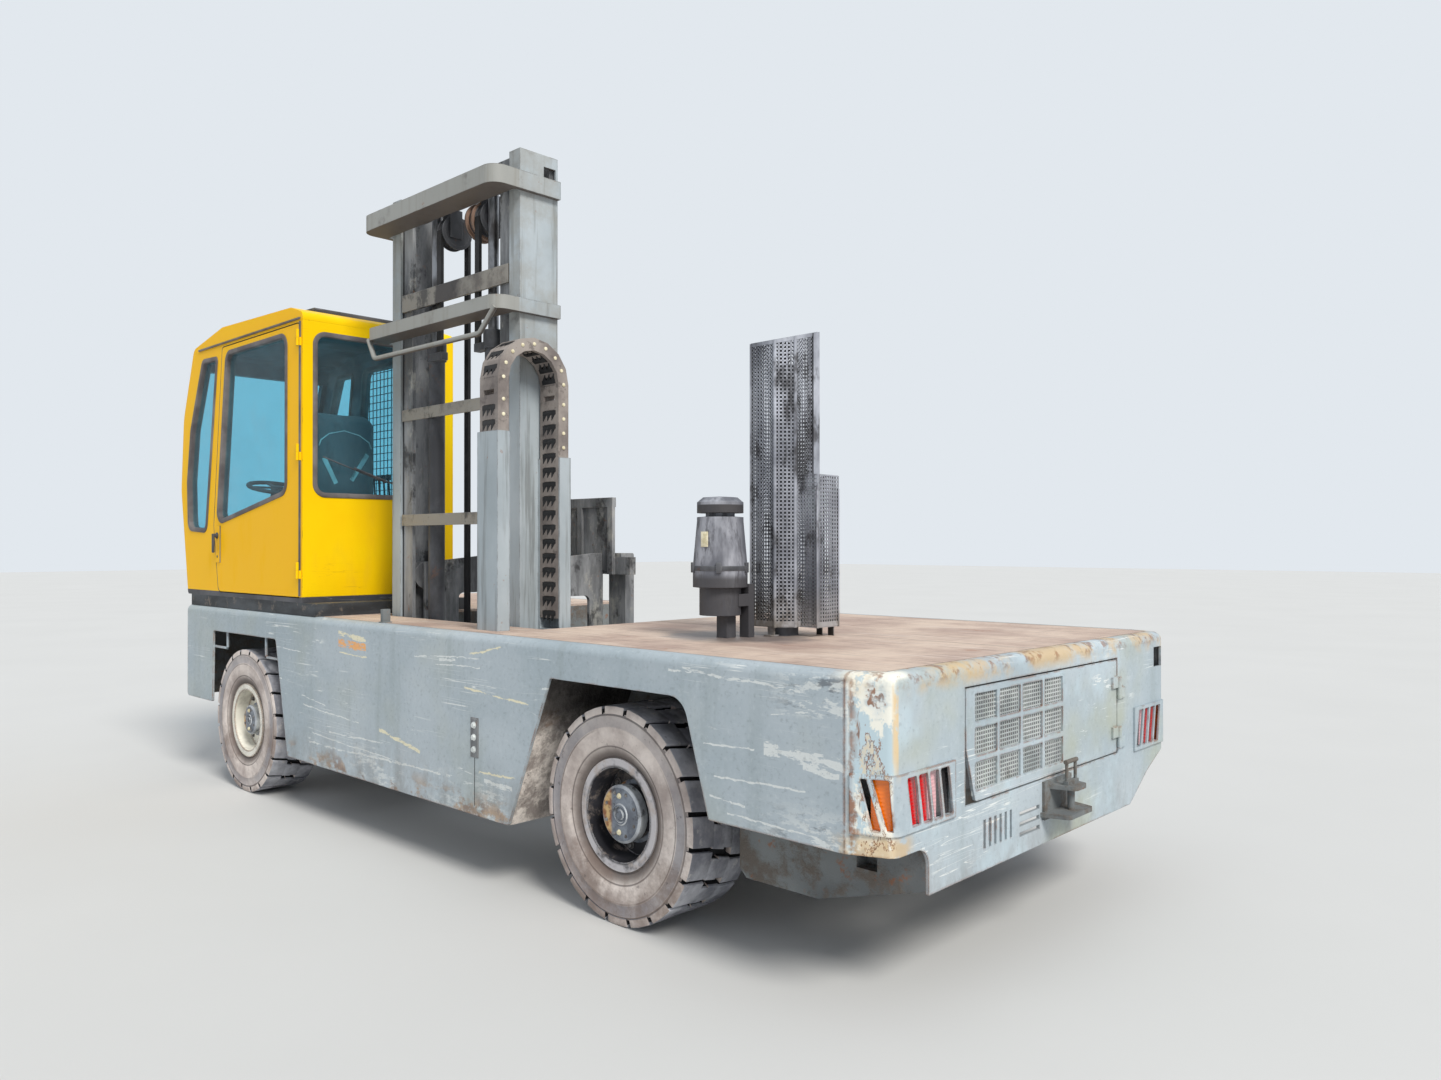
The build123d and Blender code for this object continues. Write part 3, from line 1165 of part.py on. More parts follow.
def collect():
    """Every node by name."""
    nodes = {
        "left_side_panel": left_side_panel(),
        "right_side_panels": right_side_panels(),
        "rear_bulkhead": rear_bulkhead(),
        "deck": deck(),
        "chassis_frame": chassis_frame(),
        "arch_liners": arch_liners(),
        "mast_rails": mast_rails(),
        "engine_block": engine_block(),
        "rear_axle": rear_axle(),
        "front_axle": front_axle(),
        "left_knuckle": knuckle(1),
        "right_knuckle": knuckle(-1),
        "tie_rod": tie_rod(),
        "tow_hitch": tow_hitch(),
        "lamps": lamps(),
        "air_cleaner": air_cleaner(),
        "exhaust_stack": exhaust_stack(),
        "exhaust_guard": exhaust_guard(),
        "hose_guide": hose_guide(),
        "hose_chain_fixed": chain_leg(chain_fixed_y, deck_z + 300, chain_arch_z),
        "hose_chain_moving": chain_leg(chain_moving_y, chain_foot_z, chain_arch_z),
        "hose_chain_arch": hose_chain_arch(),
        "outer_mast": outer_mast(),
        "mast_foot": mast_foot(),
        "lift_barrels": lift_barrels(),
        "inner_mast": inner_mast(),
        "lift_rods": lift_rods(),
        "chain_sheaves": chain_sheaves(),
        "chain_anchor_strands": chain_strands(chain_back_y, barrel_top_z - anchor_drop, sheave_z),
        "chain_carriage_strands": chain_strands(chain_fore_y, chain_beam_z, sheave_z),
        "carriage": carriage(),
        "rear_fork": fork(fork_x[0]),
        "front_fork": fork(fork_x[1]),
        "cab_base": cab_base(),
        "roof_hatch": roof_hatch(),
        "cab_glass": cab_glass(),
        "cab_door": cab_door(),
        "cab_door_glass": door_glass(),
        "engine_door": engine_door(),
        "seat_base": cab_seat(),
        "seat_cushion": seat_cushion(),
        "seat_back": seat_back(),
        "steering_column": steering_column(),
        "steering_wheel": steering_wheel(),
        "control_console": control_console(),
        "lamp_guards": lamp_guards(),
        "window_guard": window_guard(),
    }
    nodes.update(cab_walls())
    wheels = (("rear", rear_wheel_y, rear_tyre_width, 140, 110, 130, 105, spindle_radius),
              ("front", front_wheel_y, front_tyre_width, 112, 70, 100, 80, 40))
    for end, y, width, half_bead, hub_in, hub_out, hub_radius, spindle in wheels:
        body = tyre_body(width, half_bead)
        for name, side in (("left", 1), ("right", -1)):
            nodes[f"{end}_{name}_rim"] = rim(y, side, half_bead, hub_in, hub_out, hub_radius, spindle + running_gap)
            nodes[f"{end}_{name}_tyre"] = tyre(body, y, side)
    return nodes


for node, shape in collect().items():
    if isinstance(shape, list):
        shape = Compound(children=[solid for piece in shape for solid in piece.solids()])
    export_step(shape, f"parts/{node}.step")
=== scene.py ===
"""Looks of a side loader forklift: paint, rust, rubber and glass, and the trim that its solids leave out.
Lengths are in metres. X runs forward, Y to the left, and the ground is at Z = 0."""

import functools
import json
import math

import bmesh
import bpy
from mathutils import Matrix, Vector

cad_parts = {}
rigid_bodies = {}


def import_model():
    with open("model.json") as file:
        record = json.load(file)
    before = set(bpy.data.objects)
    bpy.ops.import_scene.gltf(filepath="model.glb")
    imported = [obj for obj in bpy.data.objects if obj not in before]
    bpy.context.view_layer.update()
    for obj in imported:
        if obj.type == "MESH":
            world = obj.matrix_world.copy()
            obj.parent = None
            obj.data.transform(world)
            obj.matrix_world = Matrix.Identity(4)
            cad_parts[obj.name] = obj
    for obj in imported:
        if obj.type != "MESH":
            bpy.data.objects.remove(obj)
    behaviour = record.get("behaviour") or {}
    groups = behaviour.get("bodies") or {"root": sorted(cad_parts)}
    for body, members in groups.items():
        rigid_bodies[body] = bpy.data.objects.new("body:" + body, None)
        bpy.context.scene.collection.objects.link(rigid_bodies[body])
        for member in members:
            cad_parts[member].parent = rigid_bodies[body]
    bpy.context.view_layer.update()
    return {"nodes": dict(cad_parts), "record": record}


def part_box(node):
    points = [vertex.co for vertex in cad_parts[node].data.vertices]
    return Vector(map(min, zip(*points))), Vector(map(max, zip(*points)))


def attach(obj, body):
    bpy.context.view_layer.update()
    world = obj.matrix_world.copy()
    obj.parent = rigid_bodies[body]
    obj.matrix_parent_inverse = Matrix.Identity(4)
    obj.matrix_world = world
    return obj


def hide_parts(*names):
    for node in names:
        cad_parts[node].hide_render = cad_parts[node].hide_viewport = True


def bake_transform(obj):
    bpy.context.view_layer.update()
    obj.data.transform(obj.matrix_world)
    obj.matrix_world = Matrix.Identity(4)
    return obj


bl_info = {
    "name": "Side Loader Forklift",
    "version": (1, 0, 0),
    "blender": (4, 5, 0),
    "location": "View3D > Sidebar > Side Loader",
    "description": "Dresses the packed solids of a side loader forklift",
    "category": "Object",
}

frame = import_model()
NODES = frame["nodes"]
SLOT_OF = {part["node"]: part["material_slot"] for part in frame["record"]["subparts"]}
finishes = {}

# Places on the truck that several finishes and pieces go by
REAR_X = -2.7
HALF_WIDTH = 1.105
DECK_TOP = 1.062
# How far the rear axle stands behind the origin
BEHIND_MIDDLE = 1.42
WHEELBASE = 3.21
WHEEL_RADIUS = 0.415
CAB_MIDDLE = (1.9, 0.62, 1.9)
EXHAUST_X, EXHAUST_Y = -1.59, 0.22
CLEANER = Vector((-1.482, 0.502, 0))
SHEAVES = (0, 0.615, 3.070)
CHAIN_FIXED_Y, CHAIN_MOVING_Y = 0.925, 0.590


class Value:
    """One output in a material, so that an expression on values adds its Math nodes."""

    def __init__(self, finish, socket):
        self.finish = finish
        self.socket = socket

    def _math(self, operation, first, second):
        return self.finish.node("ShaderNodeMath", {"operation": operation}, {0: first, 1: second})

    def __add__(self, other):
        return self._math("ADD", self, other)

    __radd__ = __add__

    def __sub__(self, other):
        return self._math("SUBTRACT", self, other)

    def __rsub__(self, other):
        return self._math("SUBTRACT", other, self)

    def __mul__(self, other):
        return self._math("MULTIPLY", self, other)

    __rmul__ = __mul__

    def __truediv__(self, other):
        return self._math("DIVIDE", self, other)

    def largest(self, other):
        return self._math("MAXIMUM", self, other)

    def least(self, other):
        return self._math("MINIMUM", self, other)

    def size(self):
        """This value without its sign."""
        return self.finish.node("ShaderNodeMath", {"operation": "ABSOLUTE"}, {0: self})

    def distance(self, other):
        """How far this value is from another."""
        return self._math("ABSOLUTE", self - other, 0)

    def rise(self, low, high):
        """0 below low, 1 above high and smooth between them. It falls where low is the larger."""
        settings = {"interpolation_type": "SMOOTHSTEP"}
        return self.finish.node("ShaderNodeMapRange", settings,
                                {"Value": self, "From Min": low, "From Max": high})

    def within(self, low, high, soft):
        """1 between low and high, and 0 outside, with soft edges."""
        return self.rise(low - soft, low) * self.rise(high + soft, high)


class Finish:
    """A material that is put together from nodes."""

    def __init__(self, name):
        self.material = bpy.data.materials.new(name)
        self.material.use_nodes = True
        self.tree = self.material.node_tree
        self.tree.nodes.clear()
        self.place = self.node("ShaderNodeTexCoord", output="Object")
        at = self.tree.nodes.new("ShaderNodeSeparateXYZ")
        self.tree.links.new(self.place.socket, at.inputs[0])
        self.x, self.y, self.z = (Value(self, output) for output in at.outputs)

    def node(self, kind, settings=None, inputs=None, output=0):
        """A node with its settings, then the values or links of its sockets."""
        made = self.tree.nodes.new(kind)
        for name, setting in (settings or {}).items():
            if name == "stops":
                ramp = made.color_ramp
                while len(ramp.elements) < len(setting):
                    ramp.elements.new(1)
                for element, (position, colour) in zip(ramp.elements, setting):
                    element.position = position
                    element.color = colour
            else:
                setattr(made, name, setting)
        for name, given in (inputs or {}).items():
            socket = made.inputs[name]
            if isinstance(given, Value):
                self.tree.links.new(given.socket, socket)
            else:
                socket.default_value = given
        return Value(self, made.outputs[output]) if made.outputs else None

    def noise(self, scale, stretch=(1, 1, 1), detail=3, roughness=0.55, shift=0.0, turn=(0, 0, 0)):
        """Cloudy pattern from 0 to 1, finer along an axis with a larger stretch."""
        inputs = {"Vector": self.place, "Scale": stretch, "Location": (shift, shift * 0.7, -shift),
                  "Rotation": turn}
        at = self.node("ShaderNodeMapping", {}, inputs)
        return self.node("ShaderNodeTexNoise", {}, {"Vector": at, "Scale": scale, "Detail": detail,
                                                    "Roughness": roughness})

    def cloud(self, scale, detail=3, roughness=0.55, shift=0.0):
        """Cloudy pattern that is as fine along each axis."""
        return self.noise(scale, (1, 1, 1), detail, roughness, shift)

    def scratches(self, run, spacing, thin, shift, turn=(0, 0, 0)):
        """Long thin lines where a stretched pattern crosses its middle: they lie across the finer axes."""
        pattern = self.noise(run, spacing, 2, 0.5, shift, turn)
        return pattern.distance(0.5).rise(thin, thin * 0.3)

    def mark(self, start, end, half_width, height):
        """Scratch between two points of the left side, each a distance from the rear face and a height."""
        (x0, z0), (x1, z1) = ((REAR_X + distance, z) for distance, z in (start, end))
        slope = (z1 - z0) / (x1 - x0)
        line = self._compare(height, self.node("ShaderNodeMath", {"operation": "MULTIPLY_ADD"},
                                               {0: self.x, 1: slope, 2: z0 - slope * x0}),
                             self.thin * half_width)
        return line * self._compare(self.x, (x0 + x1) / 2, abs(x1 - x0) / 2)

    def _compare(self, first, second, reach):
        return self.node("ShaderNodeMath", {"operation": "COMPARE"}, {0: first, 1: second, 2: reach})

    def facing(self, axis):
        """How far a face looks along an axis."""
        return self.node("ShaderNodeSeparateXYZ", {},
                         {0: self.node("ShaderNodeTexCoord", output="Normal")}, axis)

    def downward(self):
        """1 on faces that look down, and 0 on the rest."""
        return self.facing("Z").rise(-0.5, -0.8)

    def looks_at(self, point):
        """Positive on faces that look towards a point."""
        toward = self.node("ShaderNodeVectorMath", {"operation": "SUBTRACT"}, {0: point, 1: self.place})
        normal = self.node("ShaderNodeTexCoord", output="Normal")
        return self.node("ShaderNodeVectorMath", {"operation": "DOT_PRODUCT"}, {0: toward, 1: normal},
                         "Value")

    def past_axle(self):
        """Distance in X from the axle of the wheel that a point belongs to."""
        return self.x + BEHIND_MIDDLE - self.x.rise(-0.001, 0.001) * WHEELBASE

    def from_axle(self):
        """Distance from the axle of the wheel that a point belongs to."""
        along = self.past_axle()
        up = self.z - WHEEL_RADIUS
        return self.node("ShaderNodeMath", {"operation": "SQRT"}, {0: along * along + up * up})

    def mixed(self, under, over, amount):
        """One colour laid over another."""
        return self.node("ShaderNodeMix", {"data_type": "RGBA"}, {0: amount, 6: under, 7: over}, 2)

    def ground(self, first, second, amount):
        """Starts the material's colour from two that mix."""
        self.tone = self.mixed(first, second, amount)

    def lay(self, over, amount):
        """Lays a colour over the material's own."""
        self.tone = self.mixed(self.tone, over, amount)

    def worn_edges(self, width):
        """1 on the solid's edges, falling to 0 within a width of them."""
        rounded = self.rounded(width)
        flat = self.node("ShaderNodeNewGeometry", output="Normal")
        settings = {"operation": "DOT_PRODUCT"}
        match = self.node("ShaderNodeVectorMath", settings, {0: rounded, 1: flat}, "Value")
        return match.rise(0.995, 0.90)

    def bump(self, height, strength, round_edges=0.0):
        """Normal from a height pattern in metres, over edges rounded by a small radius."""
        inputs = {"Height": height, "Distance": 1.0, "Strength": strength}
        if round_edges:
            inputs["Normal"] = self.rounded(round_edges)
        return self.node("ShaderNodeBump", {}, inputs)

    def rounded(self, radius):
        """Normal over edges rounded by a small radius."""
        return self.node("ShaderNodeBevel", {"samples": 4}, {"Radius": radius})

    def surface(self, **sockets):
        """Ends the material in one shader of its colour, whose other sockets are named in words."""
        inputs = {name.replace("_", " "): value for name, value in sockets.items()}
        shader = self.node("ShaderNodeBsdfPrincipled", {}, {"Base Color": self.tone, **inputs})
        self.node("ShaderNodeOutputMaterial", {}, {"Surface": shader})


def colour(red, green, blue):
    """Colour from screen values of 0 to 255, as Blender's linear values."""
    linear = []
    for value in (red, green, blue):
        share = value / 255
        linear.append(share / 12.92 if share <= 0.04045 else ((share + 0.055) / 1.055) ** 2.4)
    return (*linear, 1)


RUST = colour(142, 92, 58)
DARK_RUST = colour(96, 66, 50)
SCRAPED = colour(222, 226, 224)
OCHRE = colour(204, 172, 120)
CREAM = colour(236, 228, 196)
MUD = colour(112, 103, 94)


# Scratches of the left side: start, end and half width. A point is (distance from the rear face, height)
WHITE_MARKS = [
    ((3.63, 0.404), (2.25, 0.432), 0.006), ((3.70, 0.592), (3.10, 0.567), 0.004),
    ((3.41, 0.483), (2.86, 0.496), 0.005), ((2.58, 0.932), (2.06, 0.964), 0.004),
    ((2.37, 0.930), (2.24, 0.936), 0.008), ((2.02, 0.449), (1.82, 0.437), 0.012),
    ((0.83, 1.018), (0.31, 0.990), 0.006), ((0.73, 0.775), (0.50, 0.781), 0.004),
    ((0.68, 0.673), (0.29, 0.676), 0.004), ((0.70, 0.606), (0.54, 0.592), 0.005),
    ((0.46, 0.792), (0.14, 0.776), 0.024), ((0.30, 0.752), (0.16, 0.744), 0.016),
    ((0.43, 0.905), (0.28, 0.930), 0.003), ((4.20, 0.70), (3.96, 0.71), 0.004),
    ((1.62, 0.875), (1.20, 0.884), 0.004), ((0.90, 1.006), (0.62, 1.012), 0.004),
    ((3.60, 0.455), (2.70, 0.428), 0.003), ((3.72, 0.640), (3.45, 0.615), 0.003),
    ((2.40, 0.905), (2.05, 0.925), 0.003), ((4.05, 0.880), (3.70, 0.872), 0.003),
    ((0.62, 0.560), (0.20, 0.540), 0.004),
]
CREAM_MARKS = [
    ((3.31, 0.995), (3.03, 0.976), 0.013), ((2.13, 0.978), (1.90, 1.020), 0.005),
    ((2.17, 0.826), (1.71, 0.806), 0.005), ((2.90, 0.561), (2.53, 0.498), 0.010),
    ((2.06, 0.477), (1.80, 0.490), 0.006), ((3.30, 0.905), (3.02, 0.893), 0.004),
]


def chassis_paint(f):
    """Faded grey blue paint, scraped along the sides and rusty along its edges."""
    broad = f.noise(1.3, (1, 1, 1.4), 5, 0.6)
    streaks = f.noise(2.2, (3.5, 3.5, 0.35), 4, 0.6, 3.1)
    rear = f.x.rise(-2.50, -2.66)
    f.ground(colour(161, 174, 181), colour(184, 194, 200), broad.rise(0.3, 0.7))
    f.lay(colour(148, 160, 163), streaks.rise(0.52, 0.75) * 0.5)
    mossy = f.cloud(1.1, 4, 0.6, 7.7).rise(0.50, 0.68) * (0.3 + rear * 0.5)
    f.lay(colour(172, 176, 156), mossy)
    f.lay(colour(190, 208, 216), f.cloud(2.3, 4, 0.6, 17).rise(0.52, 0.66) * rear * 0.6)
    patches = f.noise(2.1, (0.8, 0.8, 2.2), 3, 0.6, 1.9)
    level = f.scratches(1.0, (0.7, 0.7, 34), 0.010, 0.4)
    slant = f.scratches(1.2, (1.1, 1.1, 24), 0.008, 9.3, (0, math.radians(-14), 0))
    scraped = level * patches.rise(0.55, 0.64)
    scraped = scraped.largest(slant * f.cloud(1.5, 2, 0.5, 4.4).rise(0.58, 0.68))
    left = f.y.rise(1.085, 1.10)
    f.thin = f.noise(15, (0.7, 1, 3), 5, 0.75, 21).rise(0.38, 0.56)
    height = f.z + (f.cloud(2.3, 3, 0.6, 14) - 0.5) * 0.03 + (f.cloud(30, 2, 0.5, 4) - 0.5) * 0.012
    white, cream = (functools.reduce(Value.largest, [f.mark(*row, height) for row in rows])
                    for rows in (WHITE_MARKS, CREAM_MARKS))
    orange = f.mark((3.31, 0.953), (3.03, 0.938), 0.020, height)
    flakes = f.noise(13, (0.30, 0.30, 2.0), 5, 0.70, 2.6)
    upper = f.z.within(0.93, 1.03, 0.03) * f.x.rise(-2.2, -2.4)
    tail = f.x.rise(-2.05, -2.50) * f.z.rise(0.68, 0.52).largest(upper)
    dense = f.noise(16, (0.45, 0.45, 1.6), 6, 0.78, 2.6).rise(0.50, 0.53)
    lower = f.z.rise(0.50, 0.40) * f.x.within(-1.05, 0.70, 0.35) * f.cloud(3.1, 4, 0.6, 9).rise(0.42, 0.60)
    flaked = flakes.rise(0.585, 0.60) * f.noise(1.4, (1, 1, 1.5), 3, 0.5, 6.1).rise(0.60, 0.68)
    flaked = flaked.largest(dense * (tail + lower * 0.8).least(1) * f.y.distance(0).rise(1.0, 1.08))
    worn = scraped.largest(flaked * 0.9).largest(white * left)
    f.lay(SCRAPED, worn * 0.95)
    bruised = f.noise(9, (0.5, 0.5, 1.8), 6, 0.75, 27).rise(0.55, 0.60) * tail
    f.lay(colour(84, 90, 98), bruised * left * 0.7)
    f.lay(CREAM, cream * left * 0.95)
    f.lay(colour(240, 176, 112), orange * left)
    grit = f.cloud(55, 5, 0.75, 3.7)
    f.lay(colour(204, 212, 214), grit.rise(0.54, 0.70) * 0.35)
    f.lay(colour(128, 138, 142), grit.rise(0.46, 0.34) * 0.35)
    spots = f.cloud(14, 5, 0.7, 1.2)
    corner = f.x.rise(-2.48, -2.60) * f.y.rise(0.93, 1.0)
    peeled = f.noise(3.4, (1, 1, 0.7), 5, 0.68, 2.2)
    facet = corner * f.x.rise(-2.699, -2.690) * f.y.rise(1.104, 1.098)
    f.lay(colour(238, 236, 224), facet * peeled.rise(0.40, 0.50) * 0.95)
    f.lay(colour(178, 200, 210), facet * f.noise(4.6, (1, 1, 0.6), 6, 0.7, 6.4).rise(0.53, 0.56) * 0.9)
    bare = f.noise(6.5, (1.2, 1.2, 0.5), 6, 0.72, 15.5)
    f.lay(colour(216, 200, 172), facet * bare.rise(0.57, 0.60) * 0.8)
    ochre_band = f.z.rise(0.975, 1.03) * rear * f.cloud(4.5, 5, 0.7, 31).rise(0.40, 0.58)
    foot_band = f.z.rise(0.60, 0.55) * corner
    f.lay(OCHRE, (ochre_band * 0.75).largest(foot_band * spots.rise(0.38, 0.52) * 0.7))
    edges = f.worn_edges(0.012)
    edge_rust = edges * (spots + f.cloud(2.3, 2, 0.5, 3.3) - 0.35).rise(0.50, 0.70)
    low = f.z.rise(0.43, 0.31) * f.x.within(-2.0, 1.5, 0.1)
    tan = low * f.noise(5.5, (1, 1, 1.6), 5, 0.72, 41).rise(0.50, 0.60)
    f.lay(f.mixed(colour(178, 150, 122), colour(132, 108, 92), spots.rise(0.4, 0.6)), tan * 0.85)
    seam_rust = f.x.within(-2.600, -2.578, 0.012) * left
    seam_rust = seam_rust.largest(facet * peeled.within(0.405, 0.425, 0.006)) * spots.rise(0.40, 0.54)
    drips = facet * f.noise(5.0, (2.6, 2.6, 0.30), 5, 0.75, 12).rise(0.62, 0.66)
    edge_drip = f.x.rise(-2.686, -2.694) * f.y.within(1.030, 1.052, 0.006) * f.z.rise(0.72, 0.84)
    f.lay(colour(222, 190, 138), edge_drip * f.noise(6, (1, 1, 0.5), 5, 0.7, 3.3).rise(0.45, 0.53) * 0.8)
    drips = drips.largest(facet * bare.within(0.558, 0.572, 0.004) * spots.rise(0.40, 0.5))
    rim = f.z.rise(1.0, 1.05) * f.x.rise(-2.4, -2.66) * spots.rise(0.52, 0.62)
    rust = edge_rust.largest(seam_rust).largest(drips).largest(rim * 0.8)
    rust_tone = f.mixed(RUST, DARK_RUST, f.cloud(30, 3, 0.7).rise(0.4, 0.65))
    f.lay(rust_tone, rust * 0.85)
    mud = f.z.rise(0.60, 0.30) * f.noise(6, (1, 1, 0.6), 5, 0.7, 8.1).rise(0.40, 0.7) * 0.45
    f.lay(MUD, mud)
    rough = 0.5 + broad * 0.12 + rust * 0.25 - worn * 0.08
    dents = f.cloud(3.2, 2, 0.5, 0.9) * 0.006 - worn * 0.0006 + rust * 0.0008
    # Painted shade: faces that look down are darkened to a warm brown grey.
    f.lay(colour(98, 86, 78), f.downward() * 0.7)
    # Painted shade: faces inside the body shell, in front of the rear face, within the side panels and below
    # the deck top, go a grainy near black.
    aside = f.y.distance(0)
    inside = f.x.rise(-2.692, -2.684) * aside.rise(1.092, 1.084) * f.z.rise(1.03, 1.01)
    inside = inside * (aside * 0.922 - f.x * 0.387).rise(2.0, 1.99)
    f.lay(f.mixed(colour(44, 41, 40), colour(88, 80, 74), grit), inside * 0.92)
    f.surface(Roughness=rough, Normal=f.bump(dents, 0.35, 0.004))


def deck_steel(f):
    """Bare deck plate: pink brown rust dust, worn bright in strips and oily round the exhaust."""
    dust = f.cloud(2.6, 6, 0.65)
    f.ground(colour(178, 153, 140), colour(217, 196, 178), dust.rise(0.32, 0.68))
    drag = f.noise(1.5, (1.0, 14, 1), 5, 0.7, 3.7)
    f.lay(colour(226, 212, 200), drag.rise(0.54, 0.70) * 0.6)
    cross = f.noise(1.5, (16, 1.2, 1), 4, 0.7, 8.2)
    f.lay(colour(150, 124, 112), cross.rise(0.58, 0.74) * 0.45)
    lines = f.scratches(1.1, (0.8, 46, 1), 0.012, 2.2)
    f.lay(colour(112, 92, 84), lines * 0.6)
    rust = f.cloud(4.2, 6, 0.75, 5.5).rise(0.60, 0.72)
    f.lay(colour(160, 108, 78), rust * 0.55)
    far_x = f.x + 1.50
    far_y = f.y - 0.42
    spread = far_x * far_x * 1.4 + far_y * far_y * 2.6
    oily = (spread + f.cloud(5, 5, 0.65, 1.7) * 0.35).rise(0.42, 0.22)
    f.lay(colour(104, 96, 95), oily * 0.85)
    edges = f.worn_edges(0.010)
    f.lay(colour(92, 78, 72), edges * 0.6)
    rough = 0.72 - drag.rise(0.5, 0.7) * 0.14 - oily * 0.2
    height = dust * 0.004 + f.cloud(60, 4, 0.7) * 0.0008 - lines * 0.0006
    f.surface(Roughness=rough, Normal=f.bump(height, 0.5, 0.003))


def frame_steel(f):
    """Dull grey frame under road dirt, with rust where it has been hit."""
    f.ground(colour(96, 100, 102), colour(128, 132, 132), f.cloud(2.1, 4).rise(0.3, 0.7))
    cake = f.cloud(7, 7, 0.72, 2.4)
    f.lay(colour(104, 94, 84), cake.rise(0.46, 0.60) * 0.85)
    f.lay(RUST, f.cloud(12, 5, 0.7, 5.1).rise(0.60, 0.68) * 0.7)
    height = cake.rise(0.42, 0.7) * 0.006 + f.cloud(70, 3, 0.7) * 0.001
    f.surface(Roughness=0.85, Normal=f.bump(height, 0.7, 0.003))


def mast_paint(f):
    """Mast grey, warm with dirt on its cross plates, dark with grease and painted shade between the uprights
    where they slide, and darkened brown underneath as painted shade.
    """
    broad = f.noise(1.7, (1, 1, 0.7), 5, 0.6)
    f.ground(colour(152, 162, 167), colour(182, 191, 196), broad.rise(0.3, 0.7))
    runs = f.noise(2.4, (9, 9, 0.5), 5, 0.65, 2.2)
    f.lay(colour(108, 110, 108), runs.rise(0.50, 0.66) * 0.6)
    blotches = f.cloud(3.1, 6, 0.72, 5.9)
    high = f.z.rise(2.05, 2.35)
    plates = high * f.y.rise(0.742, 0.748)
    f.lay(colour(150, 147, 138), (blotches.rise(0.36, 0.60) * high * 0.55).largest(plates * 0.75))
    f.lay(colour(88, 82, 78), blotches.rise(0.56, 0.70) * high * 0.6)
    patch = f.x.within(-0.55, -0.42, 0.012) * f.z.within(2.26, 2.50, 0.02) * blotches.rise(0.30, 0.40)
    f.lay(colour(226, 208, 152), patch * 0.85)
    # Grease mixed with painted shade: the faces between the uprights, above 0.95 m, go dark.
    between = f.x.within(-0.395, 0.745, 0.004) * f.y.within(0.50, 0.712, 0.003) * f.z.rise(0.9, 1.0)
    grease_and_shade = (between * 0.75 + f.noise(8, (1.6, 1.6, 0.5), 6, 0.7, 4.2) * 0.5).rise(0.78, 0.98)
    f.lay(colour(60, 58, 60), grease_and_shade * 0.88)
    # Painted shade: faces that look down are darkened brown.
    f.lay(colour(84, 72, 66), f.downward() * 0.85)
    edges = f.worn_edges(0.008)
    worn = edges * f.cloud(11, 4, 0.7, 1.1).rise(0.42, 0.6)
    f.lay(colour(92, 86, 82), worn * 0.7)
    spots = f.cloud(26, 4, 0.7, 9.4).rise(0.66, 0.72)
    f.lay(RUST, spots * 0.5)
    rough = 0.5 + broad * 0.15 - grease_and_shade * 0.12
    height = f.noise(4, (1, 1, 0.6), 3) * 0.003 + grease_and_shade * f.cloud(40, 4, 0.7) * 0.002
    f.surface(Roughness=rough, Normal=f.bump(height, 0.4, 0.004))


def greasy_steel(f):
    """Inner mast, carriage and forks: dark with grease and soot, pale where dust has dried on it."""
    f.ground(colour(86, 88, 91), colour(156, 158, 160), f.noise(2.4, (2, 2, 0.5), 6, 0.68).rise(0.36, 0.64))
    f.lay(colour(184, 182, 174), f.noise(4.5, (1, 1, 0.6), 6, 0.72, 3.9).rise(0.53, 0.64) * 0.75)
    smears = f.cloud(3.6, 6, 0.72, 5.9)
    bars = f.mixed(colour(146, 141, 132), colour(104, 98, 92), smears.rise(0.50, 0.66))
    far_x = f.x - 0.20
    oily = (far_x * far_x * 24 + (smears - 0.5) * 1.8).rise(0.42, 0.18) * f.z.within(2.685, 2.785, 0.004)
    bars = f.mixed(bars, colour(52, 46, 46), oily * 0.9)
    f.lay(bars, f.y.rise(0.712, 0.716) * f.z.rise(1.0, 1.1))
    f.lay(colour(34, 34, 36), f.noise(7, (1, 1, 0.7), 5, 0.7, 8.3).rise(0.55, 0.66) * 0.8)
    f.lay(RUST, f.cloud(16, 5, 0.7, 6.6).rise(0.63, 0.70) * 0.5)
    f.lay(colour(160, 160, 158), f.worn_edges(0.005) * 0.5)
    height = f.cloud(45, 4, 0.7) * 0.0014
    f.surface(Roughness=0.5, Normal=f.bump(height, 0.5, 0.003))


def hose_links(f):
    """Moulded chain links, bleached brown grey, with painted shade along the edges between their side plates.
    """
    f.ground(colour(116, 108, 104), colour(162, 153, 146), f.noise(5, (1, 1, 0.8), 5, 0.65).rise(0.35, 0.66))
    # Painted shade: near black along the edges between the side plates.
    inside = f.x.within(-0.528, -0.452, 0.003) * f.worn_edges(0.006)
    f.lay(colour(26, 25, 26), inside * 0.6)
    f.lay(colour(84, 77, 74), f.cloud(17, 4, 0.7, 2.8).rise(0.56, 0.66) * 0.6)
    f.surface(Roughness=0.7, Normal=f.bump(f.cloud(70, 3) * 0.0008, 0.5, 0.003))


def chain_black_and_gap_shade(f):
    """Deep black of the lift chains, and black sheets of painted shade in the gaps between the links."""
    f.ground(colour(16, 16, 18), colour(38, 37, 39), f.cloud(12, 4, 0.6).rise(0.4, 0.7))
    f.surface(Roughness=0.6)


def pin_cream(f):
    """Cream pin heads of the chain."""
    f.ground(colour(206, 196, 160), colour(238, 230, 200), f.cloud(40, 3, 0.6).rise(0.35, 0.6))
    f.surface(Roughness=0.5)


def drum_rim(f):
    """Brown rim of the hose drum, rubbed by the hoses."""
    groove = f.node("ShaderNodeTexWave", {"bands_direction": "X"}, {"Vector": f.place, "Scale": 12.0})
    f.ground(colour(50, 42, 40), colour(148, 120, 104), groove.rise(0.4, 0.7))
    f.surface(Roughness=0.6)


